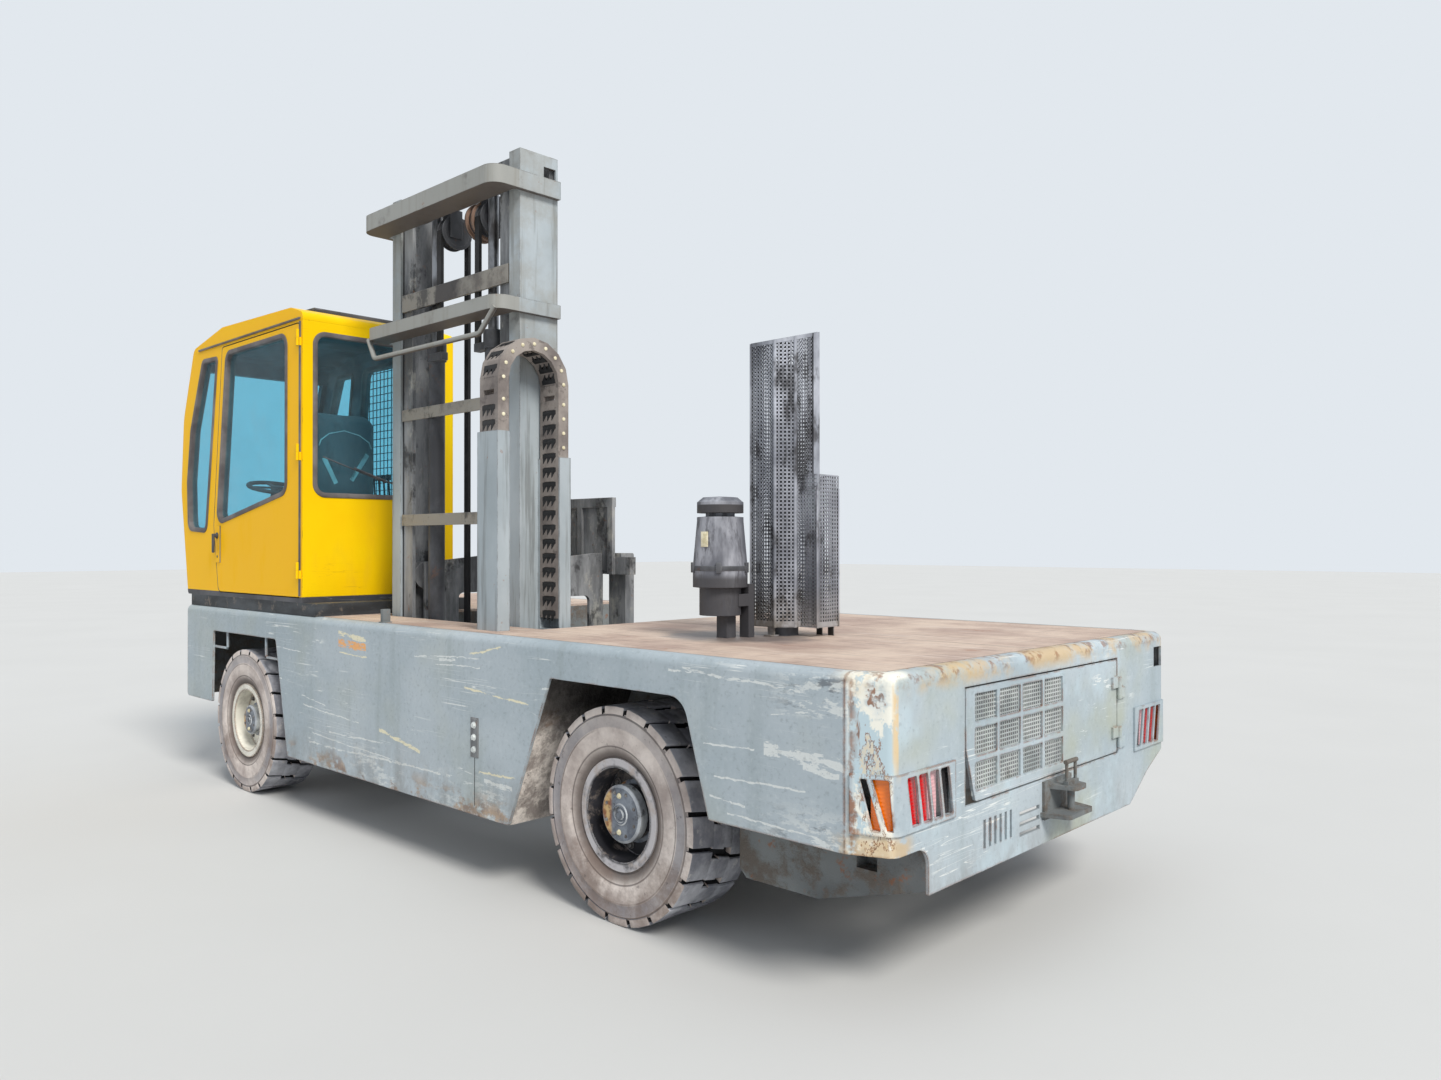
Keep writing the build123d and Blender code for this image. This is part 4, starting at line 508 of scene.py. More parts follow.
def dark_steel(f):
    """Black steel under grease and dust."""
    f.ground(colour(52, 53, 57), colour(88, 90, 95), f.noise(5, (1, 1, 0.6), 5, 0.65).rise(0.35, 0.68))
    f.lay(DARK_RUST, f.cloud(13, 5, 0.7, 3.1).rise(0.60, 0.70) * 0.55)
    f.lay(colour(138, 139, 142), f.worn_edges(0.005) * 0.4)
    height = f.cloud(55, 4, 0.7) * 0.0012
    rough = 0.42 + f.cloud(9, 3) * 0.3
    f.surface(Roughness=rough, Normal=f.bump(height, 0.5, 0.002))


def cab_paint(f):
    """Warm yellow cab paint with dust and a few marks low down."""
    fade = f.cloud(1.2, 4, 0.55)
    f.ground(colour(255, 204, 2), colour(255, 217, 6), fade.rise(0.3, 0.7))
    dusty = f.noise(3.5, (2, 2, 0.6), 5, 0.6, 2.9).rise(0.5, 0.75) * f.z.rise(2.2, 1.15)
    f.lay(colour(226, 172, 40), dusty * 0.35)
    edges = f.worn_edges(0.007)
    chips = edges * f.cloud(16, 5, 0.7, 4.6).rise(0.55, 0.65)
    f.lay(colour(120, 84, 40), chips * 0.8)
    marks = f.scratches(1.9, (1, 1, 26), 0.008, 6.6) * f.cloud(1.6, 2, 0.5, 1.5).rise(0.58, 0.68)
    f.lay(colour(200, 146, 30), marks * 0.5)
    lip = f.z.rise(1.168, 1.150) * 0.7
    f.lay(colour(150, 110, 50), lip * f.cloud(9, 4, 0.7, 3).rise(0.35, 0.6))
    inner = f.looks_at(CAB_MIDDLE).rise(0.02, 0.06)
    # Painted shade: faces that look along +Y, the cab's left side, are laid deeper orange than the rear.
    flank = f.facing("Y").rise(0.8, 0.95)
    f.lay(colour(255, 190, 0), flank * 0.75)
    lining = f.mixed(colour(86, 90, 94), colour(118, 122, 126), f.cloud(4, 4).rise(0.35, 0.65))
    f.lay(lining, inner)
    rough = 0.42 + fade * 0.12 + dusty * 0.2
    waves = f.cloud(2.4, 2) * 0.004
    f.surface(Roughness=rough, Specular_IOR_Level=0.14, Normal=f.bump(waves, 0.25, 0.006))


def chrome_rod(f):
    """Hard chrome of the lift rods, dull under old oil."""
    film = f.noise(9, (1, 1, 0.4), 4, 0.6)
    f.ground(colour(150, 152, 156), colour(66, 62, 60), film.rise(0.40, 0.62) * 0.9)
    f.surface(Metallic=0.8, Roughness=0.2 + film * 0.3)


def cast_steel(f):
    """Cast axle and hub metal, dull with dirt and rust."""
    f.ground(colour(78, 80, 84), colour(118, 120, 124), f.cloud(6, 5).rise(0.3, 0.7))
    f.lay(colour(120, 92, 70), f.cloud(9, 6, 0.7, 2.7).rise(0.52, 0.64) * 0.7)
    grain = f.cloud(120, 3, 0.6) * 0.0012 + f.cloud(18, 4) * 0.002
    f.surface(Roughness=0.72, Normal=f.bump(grain, 0.6, 0.004))


def tyre(f):
    """Rubber, dusty brown on the side walls and darkened towards the rim as painted shade, dark grey on the
    lugs but lightened with dust and painted light, and black in the grooves.
    """
    radius = f.from_axle()
    side = f.facing("Y").size().rise(0.40, 0.75)
    dust = f.noise(4.2, (1, 0.6, 1), 6, 0.68)
    wall = f.mixed(colour(176, 163, 157), colour(232, 221, 213), dust.rise(0.33, 0.66))
    # Painted shade: the side wall darkens towards the rim.
    wall = f.mixed(wall, colour(82, 74, 71), radius.rise(0.272, 0.228) * 0.85)
    rings = f.cloud(3.0, 4, 0.6, 8.8).rise(0.4, 0.6)
    grime = radius.within(0.2585, 0.263, 0.002).largest(radius.within(0.328, 0.332, 0.002) * rings)
    wall = f.mixed(wall, colour(70, 65, 65), grime * 0.6)
    ring = radius.within(0.337, 0.374, 0.004) * (rings * 0.5 + 0.5)
    wall = f.mixed(wall, colour(136, 137, 145), ring * 0.7)
    wall = f.mixed(wall, colour(74, 72, 76), radius.within(0.378, 0.384, 0.002) * 0.6)
    stained = f.cloud(3.6, 6, 0.7, 5.2).rise(0.42, 0.62)
    wall = f.mixed(wall, colour(122, 104, 94), stained * (f.z.rise(0.62, 0.20) * 0.55 + 0.15))
    # The lug colour is lightened as painted light, with patches of dust.
    top = f.mixed(colour(126, 127, 135), colour(198, 199, 205), f.cloud(5, 5, 0.65, 2.2).rise(0.35, 0.68))
    top = f.mixed(top, colour(208, 204, 200), f.cloud(13, 5, 0.7, 6.1).rise(0.56, 0.68) * 0.7)
    f.ground(top, wall, side)
    f.lay(colour(30, 30, 33), radius.within(0.386, 0.403, 0.003) * (1 - side))
    pits = f.cloud(38, 5, 0.7, 1.3)
    f.lay(colour(66, 62, 62), pits.rise(0.60, 0.72) * 0.5)
    height = pits * 0.0016 + f.cloud(160, 2) * 0.0004
    f.surface(Roughness=0.86, Normal=f.bump(height, 0.6))


def rim_black(f):
    """Black rim paint under dust, rubbed grey along the flange with painted highlight, and painted shade in
    the dish.
    """
    f.ground(colour(40, 40, 45), colour(72, 72, 78), f.cloud(6, 4).rise(0.35, 0.65))
    radius = f.from_axle()
    # Light band along the flange: worn paint, and painted highlight.
    lip = radius.rise(0.180, 0.192) * f.cloud(9, 4, 0.7, 2.1).rise(0.28, 0.50)
    f.lay(colour(206, 202, 204), lip * 0.85)
    rubbed = f.worn_edges(0.008) * f.cloud(14, 4, 0.7, 2.1).rise(0.35, 0.55)
    f.lay(colour(214, 212, 214), rubbed * 0.8)
    f.lay(colour(176, 162, 152), f.cloud(8, 6, 0.75, 5.5).rise(0.50, 0.62) * 0.7)
    # Painted shade: the dish of the rim goes near black.
    f.lay(colour(26, 26, 29), radius.within(0.112, 0.170, 0.012) * 0.6)
    f.surface(Roughness=0.42, Normal=f.rounded(0.004))


def rim_white(f):
    """Off-white rim paint with rust that creeps in from its edges."""
    f.ground(colour(226, 222, 208), colour(244, 241, 230), f.cloud(6, 4).rise(0.35, 0.65))
    creep = f.worn_edges(0.016) * 0.5 + f.cloud(13, 6, 0.72, 2.1)
    rust = creep.rise(0.66, 0.82)
    f.lay(f.mixed(RUST, DARK_RUST, f.cloud(40, 3).rise(0.4, 0.6)), rust * 0.9)
    f.lay(MUD, f.cloud(5, 5, 0.7, 7.2).rise(0.50, 0.70) * 0.45)
    f.surface(Roughness=0.55 + rust * 0.3, Normal=f.rounded(0.004))


def glass(f):
    """Thin tinted pane, dusty near its edges."""
    dusty = f.cloud(3.1, 5, 0.65).rise(0.45, 0.8) * 0.10
    fresnel = f.node("ShaderNodeFresnel", {}, {"IOR": 1.45})
    front = 1.0 - f.node("ShaderNodeNewGeometry", output="Backfacing")
    through = f.node("ShaderNodeBsdfTransparent", {}, {"Color": (0.66, 0.90, 0.96, 1)})
    gloss = f.node("ShaderNodeBsdfPrincipled", {}, {"Base Color": colour(150, 170, 178), "Roughness": 0.06})
    share = (fresnel * 0.9 + dusty + 0.06).least(1.0) * front
    pane = f.node("ShaderNodeMixShader", {}, {0: share, 1: through, 2: gloss})
    f.node("ShaderNodeOutputMaterial", {}, {"Surface": pane})


def lamp(f):
    """Lenses in bands across the rear face: amber outside, then red, then clear. Head lamps are clear."""
    from_side = HALF_WIDTH - f.y.size()
    amber = from_side.within(0.034, 0.128, 0.003)
    red = from_side.within(0.132, 0.246, 0.003)
    split = from_side.within(0.190, 0.194, 0.002)
    f.ground(colour(58, 56, 58), colour(255, 128, 20), amber)
    f.lay(colour(214, 26, 30), red)
    f.lay(colour(236, 184, 188), from_side.within(0.250, 0.300, 0.003))
    f.lay(colour(158, 160, 158), from_side.rise(0.026, 0.022))
    f.lay(colour(70, 20, 22), split * 0.7)
    f.lay(colour(226, 228, 230), f.x.rise(2.60, 2.62))
    ribs = f.node("ShaderNodeTexWave", {"bands_direction": "Z"}, {"Vector": f.place, "Scale": 26.0})
    f.surface(Roughness=0.18, Coat_Weight=0.6, Normal=f.bump(ribs * 0.0015, 0.6))


def black_plastic(f):
    """Matt black plastic with a fine moulded grain and dust."""
    f.ground(colour(58, 58, 62), colour(92, 92, 96), f.noise(4, (1, 1, 0.7), 5, 0.6).rise(0.35, 0.7))
    scuff = f.scratches(3, (1, 1, 12), 0.012, 2.1) * f.cloud(3, 2, 0.5, 6).rise(0.5, 0.6)
    f.lay(colour(140, 140, 142), scuff * 0.5)
    grain = f.cloud(240, 2) * 0.0005
    f.surface(Roughness=0.6, Normal=f.bump(grain, 0.5, 0.004))


def rubber(f):
    """Grey brown window rubber, bleached along its outer lip."""
    f.ground(colour(86, 80, 80), colour(124, 118, 116), f.cloud(5, 4, 0.6).rise(0.35, 0.7))
    f.lay(colour(70, 64, 64), f.worn_edges(0.003) * 0.5)
    f.surface(Roughness=0.62, Normal=f.bump(f.cloud(60, 3) * 0.0006, 0.4))


def hub_metal(f):
    """Bare silver hub drum with a dark greasy face, rusty where water stands."""
    f.ground(colour(168, 172, 176), colour(226, 230, 232), f.cloud(9, 4, 0.6).rise(0.38, 0.62))
    face = f.facing("Y").size().rise(0.75, 0.9)
    greasy = f.mixed(colour(70, 78, 92), colour(126, 134, 146), f.cloud(11, 5, 0.68, 1.2).rise(0.38, 0.64))
    f.lay(greasy, face * 0.9)
    streak = f.past_axle().rise(0.040, 0.062) * f.cloud(9, 4, 0.7, 3.4).rise(0.34, 0.48) * face
    f.lay(f.mixed(RUST, OCHRE, f.cloud(30, 3).rise(0.4, 0.6)), streak)
    f.lay(colour(46, 44, 46), f.cloud(14, 5, 0.7, 6.4).rise(0.54, 0.64) * 0.7)
    f.surface(Roughness=0.45, Metallic=0.2, Normal=f.rounded(0.002))


def rim_nut(f):
    """Bare nuts and bolt heads, dark with grease and dust."""
    f.ground(colour(92, 88, 86), colour(150, 148, 146), f.cloud(40, 4, 0.6).rise(0.35, 0.65))
    f.lay(RUST, f.cloud(30, 4, 0.7, 2.4).rise(0.55, 0.65) * 0.6)
    f.surface(Roughness=0.5, Metallic=0.5, Normal=f.rounded(0.001))


def mesh_grey(f):
    """Zinc grey mesh wire with dust in it."""
    f.ground(colour(176, 182, 182), colour(214, 218, 216), f.cloud(7, 4, 0.6).rise(0.35, 0.65))
    f.lay(colour(104, 92, 82), f.cloud(4, 5, 0.7, 1.4).rise(0.55, 0.66) * 0.6)
    f.surface(Roughness=0.55)


def guard_wire(f):
    """Galvanised black guard mesh, grey where the sun and soot have bleached it."""
    f.ground(colour(112, 115, 124), colour(186, 190, 200), f.noise(3.5, (1, 1, 0.7), 5, 0.6).rise(0.35, 0.65))
    f.lay(colour(56, 54, 56), f.noise(6, (1, 1, 0.6), 5, 0.7, 2.6).rise(0.50, 0.62) * 0.85)
    f.lay(colour(150, 140, 128), f.z.rise(1.30, 1.10) * 0.5)
    # Faces inside the guard, looking towards the exhaust's axis, go near black: soot and painted shade.
    axis = f.node("ShaderNodeCombineXYZ", {}, {0: EXHAUST_X, 1: EXHAUST_Y, 2: f.z})
    inner = f.looks_at(axis).rise(0.01, 0.03)
    f.lay(colour(22, 21, 22), inner * 0.95)
    f.surface(Roughness=0.5, Normal=f.bump(f.cloud(90, 3) * 0.0006, 0.5))


def moulded_grey(f):
    """Sun-bleached moulded plastic of the air cleaner, darker below its body, with a band of painted shade
    under its cap.
    """
    f.ground(colour(98, 100, 108), colour(172, 174, 182),
             f.noise(3.4, (1.6, 1.6, 0.6), 5, 0.62).rise(0.42, 0.66))
    f.lay(colour(70, 70, 76), f.noise(7, (1.4, 1.4, 0.4), 6, 0.7, 3.3).rise(0.53, 0.62) * 0.85)
    # Darker below the body; the band at 1.575 to 1.605 m is painted shade under the cap.
    low = f.z.rise(1.33, 1.30)
    f.lay(colour(62, 60, 62), (low * 0.85).largest(f.z.within(1.575, 1.605, 0.004)))
    f.lay(colour(66, 66, 72), f.noise(9, (2.2, 2.2, 0.5), 5, 0.7, 6.6).rise(0.54, 0.64) * 0.6)
    grain = f.cloud(200, 2) * 0.0005 + f.cloud(9, 3) * 0.003
    f.surface(Roughness=0.55, Normal=f.bump(grain, 0.5, 0.004))


def base_steel(f):
    """Dark painted steel under the cab, with dust on its ledges."""
    f.ground(colour(36, 38, 41), colour(72, 76, 80), f.noise(2.6, (1, 1, 3), 5, 0.6).rise(0.35, 0.7))
    f.lay(colour(128, 116, 104), f.cloud(9, 6, 0.7, 4.4).rise(0.56, 0.66) * 0.6)
    f.surface(Roughness=0.7, Normal=f.rounded(0.004))


def road_dirt(f):
    """Liner under a thick crust of dried mud, brown in the light and black towards its top as painted shadow.
    """
    cake = f.cloud(9, 7, 0.75, 2.4)
    f.ground(colour(158, 148, 141), colour(236, 226, 216), cake.rise(0.40, 0.62))
    f.lay(colour(160, 124, 98), f.cloud(5, 5, 0.7, 7.1).rise(0.56, 0.68) * 0.6)
    f.lay(colour(60, 56, 54), f.cloud(17, 5, 0.7, 9.1).rise(0.60, 0.68) * 0.7)
    # Painted shadow: the liner goes black towards its top.
    f.lay(colour(26, 24, 23), f.z.rise(0.64, 0.80) * 0.9)
    f.surface(Roughness=0.95, Normal=f.bump(cake * 0.02, 0.9))


def seat_fabric(f):
    """Black woven seat cloth, a little grey with wear."""
    warp = f.node("ShaderNodeTexWave", {"bands_direction": "Y"}, {"Vector": f.place, "Scale": 150.0})
    weft = f.node("ShaderNodeTexWave", {"bands_direction": "DIAGONAL"}, {"Vector": f.place, "Scale": 110.0})
    weave = warp * 0.5 + weft * 0.5
    f.ground(colour(66, 67, 72), colour(112, 113, 118), weave)
    f.lay(colour(140, 138, 136), f.cloud(5, 4, 0.6, 3).rise(0.5, 0.75) * 0.4)
    folds = f.noise(6, (1, 1.6, 0.8), 3, 0.5, 4.1)
    f.lay(colour(44, 45, 50), folds.rise(0.55, 0.70) * 0.6)
    height = weave * 0.0012 + folds * 0.03
    f.surface(Roughness=0.9, Sheen_Weight=0.3, Normal=f.bump(height, 0.7))


FINISH_MAKERS = {maker.__name__: maker for maker in (
    chassis_paint, deck_steel, frame_steel, mast_paint, greasy_steel, hose_links, chain_black_and_gap_shade, pin_cream,
    drum_rim, dark_steel, cab_paint, chrome_rod, cast_steel, tyre, rim_black, rim_white, glass, lamp,
    black_plastic, rubber, hub_metal, rim_nut, mesh_grey, guard_wire, moulded_grey, base_steel, road_dirt,
    seat_fabric)}
# Nodes whose finish isn't the plain one of their slot
OWN_FINISH = {"air_cleaner": "moulded_grey", "cab_base": "base_steel", "arch_liners": "road_dirt",
              "inner_mast": "greasy_steel", "carriage": "greasy_steel", "rear_fork": "greasy_steel",
              "front_fork": "greasy_steel", "hose_chain_arch": "hose_links", "hose_chain_fixed": "hose_links",
              "hose_chain_moving": "hose_links"}


def finish(name):
    """The finish of that name, made once."""
    if name not in finishes:
        made = Finish(name)
        FINISH_MAKERS[name](made)
        finishes[name] = made.material
    return finishes[name]


def paint(piece, name):
    """Gives a piece one finish all over."""
    piece.data.materials.clear()
    piece.data.materials.append(finish(name))


class SIDELOADER_OT_finishes(bpy.types.Operator):
    """Gives each solid of the truck the finish of its material slot"""

    bl_idname = "sideloader.finishes"
    bl_label = "Finishes"

    def execute(self, context):
        for name, node in NODES.items():
            paint(node, OWN_FINISH.get(name, SLOT_OF[name]))
        return {"FINISHED"}


AXES = {"X": (Vector((1, 0, 0)), (0, math.pi / 2, 0)), "Y": (Vector((0, 1, 0)), (math.pi / 2, 0, 0)),
        "Z": (Vector((0, 0, 1)), (0, 0, 0))}


def leave_editing():
    """Back to object mode, if a piece is open."""
    if bpy.context.mode == "EDIT_MESH":
        bpy.ops.object.mode_set(mode="OBJECT")


def begin(name):
    """Opens a new piece in edit mode, with nothing else selected."""
    leave_editing()
    bpy.ops.object.select_all(action="DESELECT")
    piece = bpy.data.objects.new(name, bpy.data.meshes.new(name))
    bpy.context.scene.collection.objects.link(piece)
    bpy.context.view_layer.objects.active = piece
    piece.select_set(True)
    bpy.ops.object.mode_set(mode="EDIT")
    return piece


def pick(piece):
    """Makes a piece the only one that is selected, in object mode."""
    bpy.ops.object.select_all(action="DESELECT")
    piece.select_set(True)
    bpy.context.view_layer.objects.active = piece


def done(piece, finish_name, body, smooth=32, replaced=()):
    """Closes a piece: object mode, smooth faces, its finish and the body that carries it."""
    leave_editing()
    pick(piece)
    bpy.ops.object.shade_smooth_by_angle(angle=math.radians(smooth))
    paint(piece, finish_name)
    if body:
        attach(piece, body)
    if replaced:
        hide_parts(*replaced)
    return piece


def modified(piece, kind, **settings):
    """Adds a modifier with its settings and applies it."""
    leave_editing()
    pick(piece)
    modifier = piece.modifiers.new(kind.title(), kind)
    for name, setting in settings.items():
        setattr(modifier, name, setting)
    bpy.ops.object.modifier_apply(modifier=modifier.name)


def block(low, high, soften=0.0, turn=(0, 0, 0)):
    """Block between two corners of the open piece, with its edges softened."""
    middle = [(a + b) / 2 for a, b in zip(low, high)]
    size = [abs(b - a) for a, b in zip(low, high)]
    bpy.ops.mesh.select_all(action="DESELECT")
    bpy.ops.mesh.primitive_cube_add(size=1, location=middle, rotation=turn, scale=size)
    if soften:
        bpy.ops.mesh.bevel(offset=soften, segments=2, affect="EDGES")


def rod(start, end, radius, sides=10):
    """Round bar between two points of the open piece."""
    start, end = Vector(start), Vector(end)
    bpy.ops.mesh.select_all(action="DESELECT")
    bpy.ops.mesh.primitive_cylinder_add(vertices=sides, radius=radius,
                                        depth=(end - start).length + radius * 0.5,
                                        location=(start + end) / 2,
                                        rotation=(end - start).to_track_quat("Z", "Y").to_euler())


def chain_of_rods(points, radius, sides=10):
    """Bent bar through several points."""
    for start, end in zip(points, points[1:]):
        rod(start, end, radius, sides)


def turned(rows, centre, axis="Z", sides=24, closed=False):
    """Turned shape from (radius, distance along the axis) rows. A closed one is a ring."""
    along, tilt = AXES[axis]
    centre = Vector(centre)
    radius, reach = rows[0]
    bpy.ops.mesh.select_all(action="DESELECT")
    bpy.ops.mesh.primitive_circle_add(vertices=sides, radius=radius,
                                      fill_type="NOTHING" if closed else "NGON",
                                      location=centre + along * reach, rotation=tilt)
    for next_radius, next_reach in rows[1:] + (rows[:1] if closed else []):
        bpy.ops.mesh.extrude_region_move(TRANSFORM_OT_translate={"value": along * (next_reach - reach)})
        scale = [1 if part else next_radius / radius for part in along]
        bpy.ops.transform.resize(value=scale, center_override=centre + along * next_reach)
        radius, reach = next_radius, next_reach
    bpy.ops.mesh.select_linked()
    if closed:
        bpy.ops.mesh.remove_doubles(threshold=0.00001)
        bpy.ops.mesh.select_linked()
    bpy.ops.mesh.normals_make_consistent(inside=False)


def placed(piece, matrices):
    """Copies a modelled piece to each place, joins the copies and drops the pattern."""
    leave_editing()
    copies = []
    for matrix in matrices:
        copy = bpy.data.objects.new(piece.name, piece.data.copy())
        copy.data.transform(matrix)
        bpy.context.scene.collection.objects.link(copy)
        copies.append(copy)
    name = piece.name
    bpy.data.objects.remove(piece)
    pick(copies[0])
    for copy in copies:
        copy.select_set(True)
    if len(copies) > 1:
        bpy.ops.object.join()
    copies[0].name = name
    return copies[0]


def of_blocks(name, finish_name, *rows):
    """Piece of the chassis that is made of blocks, given by their corners and softening."""
    piece = begin(name)
    for row in rows:
        block(*row)
    return done(piece, finish_name, "chassis")


def joined(name, parts):
    """One piece of several finished meshes."""
    leave_editing()
    pick(parts[0])
    for part in parts:
        part.select_set(True)
    bpy.ops.object.join()
    parts[0].name = name
    return parts[0]


def facing(direction, at, turn=0.0):
    """Matrix that puts something modelled along +Z at a place, along another direction."""
    tilt = Vector(direction).to_track_quat("Z", "Y").to_matrix().to_4x4()
    return Matrix.Translation(at) @ tilt @ Matrix.Rotation(turn, 4, "Z")


def bolts(name, places, radius, finish_name, body):
    """Hexagon bolt heads on washers, at (place, direction) rows."""
    bolt = begin(name)
    turned([(radius * 1.25, 0), (radius * 1.25, radius * 0.18), (radius * 1.1, radius * 0.22)], (0, 0, 0),
           "Z", 16)
    turned([(radius, radius * 0.2), (radius, radius * 0.75), (radius * 0.86, radius * 0.88)], (0, 0, 0),
           "Z", 6)
    matrices = [facing(direction, at, index * 0.7) for index, (at, direction) in enumerate(places)]
    return done(placed(bolt, matrices), finish_name, body)


def around(centre, radius, count, out, lift, first=0.0):
    """Places on a circle round an axle, each with the direction out of the wheel."""
    places = []
    for index in range(count):
        turn = 2 * math.pi * (index + first) / count
        arm = Vector((math.cos(turn), 0, math.sin(turn)))
        places.append((centre + arm * radius + Vector((0, out * lift, 0)), (0, out, 0)))
    return places


def bars(length, height, pitch, bar, depth):
    """Crossed bars in the XZ plane from the origin, as a list of two pieces."""
    columns, rows = max(1, round(length / pitch)), max(1, round(height / pitch))
    upright = begin("bars")
    block((-bar / 2, -depth / 2, 0), (bar / 2, depth / 2, height))
    modified(upright, "ARRAY", count=columns + 1, use_relative_offset=False, use_constant_offset=True,
             constant_offset_displace=(length / columns, 0, 0))
    level = begin("bars")
    block((0, -depth / 2, -bar / 2), (length, depth / 2, bar / 2))
    modified(level, "ARRAY", count=rows + 1, use_relative_offset=False, use_constant_offset=True,
             constant_offset_displace=(0, 0, height / rows))
    return [upright, level]


def bar_panel(name, start, end, z0, z1, pitch, bar, depth):
    """Panel of crossed bars that stands between two points of the floor plan."""
    run = Vector((*end, 0)) - Vector((*start, 0))
    panel = joined(name, bars(run.length, z1 - z0, pitch, bar, depth))
    panel.data.transform(Matrix.Translation((*start, z0)) @ Matrix.Rotation(math.atan2(run.y, run.x), 4, "Z"))
    return panel


class TyreSizes(bpy.types.PropertyGroup):
    """The lugs of the four tyres."""

    lugs: bpy.props.IntProperty(name="Lugs", description="Lugs on each shoulder", default=20)
    groove: bpy.props.FloatProperty(name="Groove", description="Width between two lugs", unit="LENGTH",
                                    default=0.017)
    depth: bpy.props.FloatProperty(name="Depth", description="Height of a lug", unit="LENGTH", default=0.026)
    skew: bpy.props.FloatProperty(name="Skew", description="Slant of a lug's flank", unit="LENGTH",
                                  default=0.018)


class SIDELOADER_OT_tyres(bpy.types.Operator):
    """Models the tyres with their shoulder lugs and the rings of their side walls"""

    bl_idname = "sideloader.tyres"
    bl_label = "Tyres"

    def carcass(self, half, half_bead, base):
        rows = [(0.1965, half_bead), (0.219, half_bead), (0.226, half_bead + 0.006), (0.243, half - 0.012),
                (0.258, half - 0.005), (0.262, half - 0.0055), (0.268, half - 0.002), (0.300, half),
                (0.328, half - 0.0005), (0.332, half + 0.0005), (0.337, half - 0.0015),
                (0.372, half - 0.0025),
                (0.376, half - 0.001), (0.380, half - 0.004), (base, half - 0.012)]
        turned([(r, -y) for r, y in rows] + [(r, y) for r, y in reversed(rows)], (0, 0, 0), "Y", 96,
               closed=True)

    def lug(self, sizes, half, pitch, base, top):
        """One lug of the far shoulder on a flat strip: X round the tyre, Y across and Z out."""
        reach = (pitch - sizes.groove) / 2
        lug = begin("lug")
        block((-reach, half * 0.30, base - 0.006), (reach, half - 0.002, top))
        mesh = bmesh.from_edit_mesh(lug.data)
        for vertex in mesh.verts:
            outer = vertex.co.y > half * 0.6
            vertex.co.x += sizes.skew * (0.6 if outer else -0.4)
            if outer and vertex.co.z > base:
                vertex.co.y -= 0.004
        block((-reach * 0.98, -half * 0.06, base - 0.006), (reach * 0.66, half * 0.34, top - 0.001))
        mesh = bmesh.from_edit_mesh(lug.data)
        for vertex in mesh.verts:
            if vertex.select:
                vertex.co.x -= sizes.skew * (1.5 - vertex.co.y / half * 2.2)
        bmesh.update_edit_mesh(lug.data)
        for share in (-0.4, 0, 0.4):
            bpy.ops.mesh.select_all(action="SELECT")
            bpy.ops.mesh.bisect(plane_co=(share * pitch, 0, 0), plane_no=(1, 0, 0))
        modified(lug, "BEVEL", width=0.004, segments=2, limit_method="ANGLE", angle_limit=math.radians(40))
        return lug

    def tyre(self, name, sizes, half, half_bead):
        radius = WHEEL_RADIUS
        base = radius - sizes.depth
        pitch = 2 * math.pi * radius / sizes.lugs
        lug = self.lug(sizes, half, pitch, base, radius - 0.0005)
        turns = []
        for index in range(sizes.lugs):
            turns.append(Matrix.Translation((pitch * index, 0, 0)))
            turns.append(Matrix.Translation((pitch * (index + 0.5), 0, 0)) @ Matrix.Rotation(math.pi, 4, "Z"))
        tread = placed(lug, turns)
        for vertex in tread.data.vertices:
            angle, out = vertex.co.x / radius, vertex.co.z
            vertex.co.x = out * math.sin(angle)
            vertex.co.z = out * math.cos(angle)
        ring = begin(name)
        self.carcass(half, half_bead, base)
        return joined(name, [ring, tread])

    def execute(self, context):
        sizes = context.scene.sideloader_tyres
        for end, half_bead in (("rear", 0.140), ("front", 0.112)):
            low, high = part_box(f"{end}_left_tyre")
            pattern = self.tyre(f"{end}_tyre", sizes, (high[1] - low[1]) / 2, half_bead)
            for side in ("left", "right"):
                node = f"{end}_{side}_tyre"
                low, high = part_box(node)
                middle = (Vector(low) + Vector(high)) / 2
                copy = pattern.copy()
                copy.data = pattern.data.copy()
                copy.name = f"{node}_lugged"
                context.scene.collection.objects.link(copy)
                turn = Matrix.Rotation(0 if side == "left" else math.pi, 4, "Z")
                copy.data.transform(Matrix.Translation(middle) @ turn)
                done(copy, "tyre", f"{end}_{side}_wheel", replaced=(node,))
            bpy.data.objects.remove(pattern)
        return {"FINISHED"}


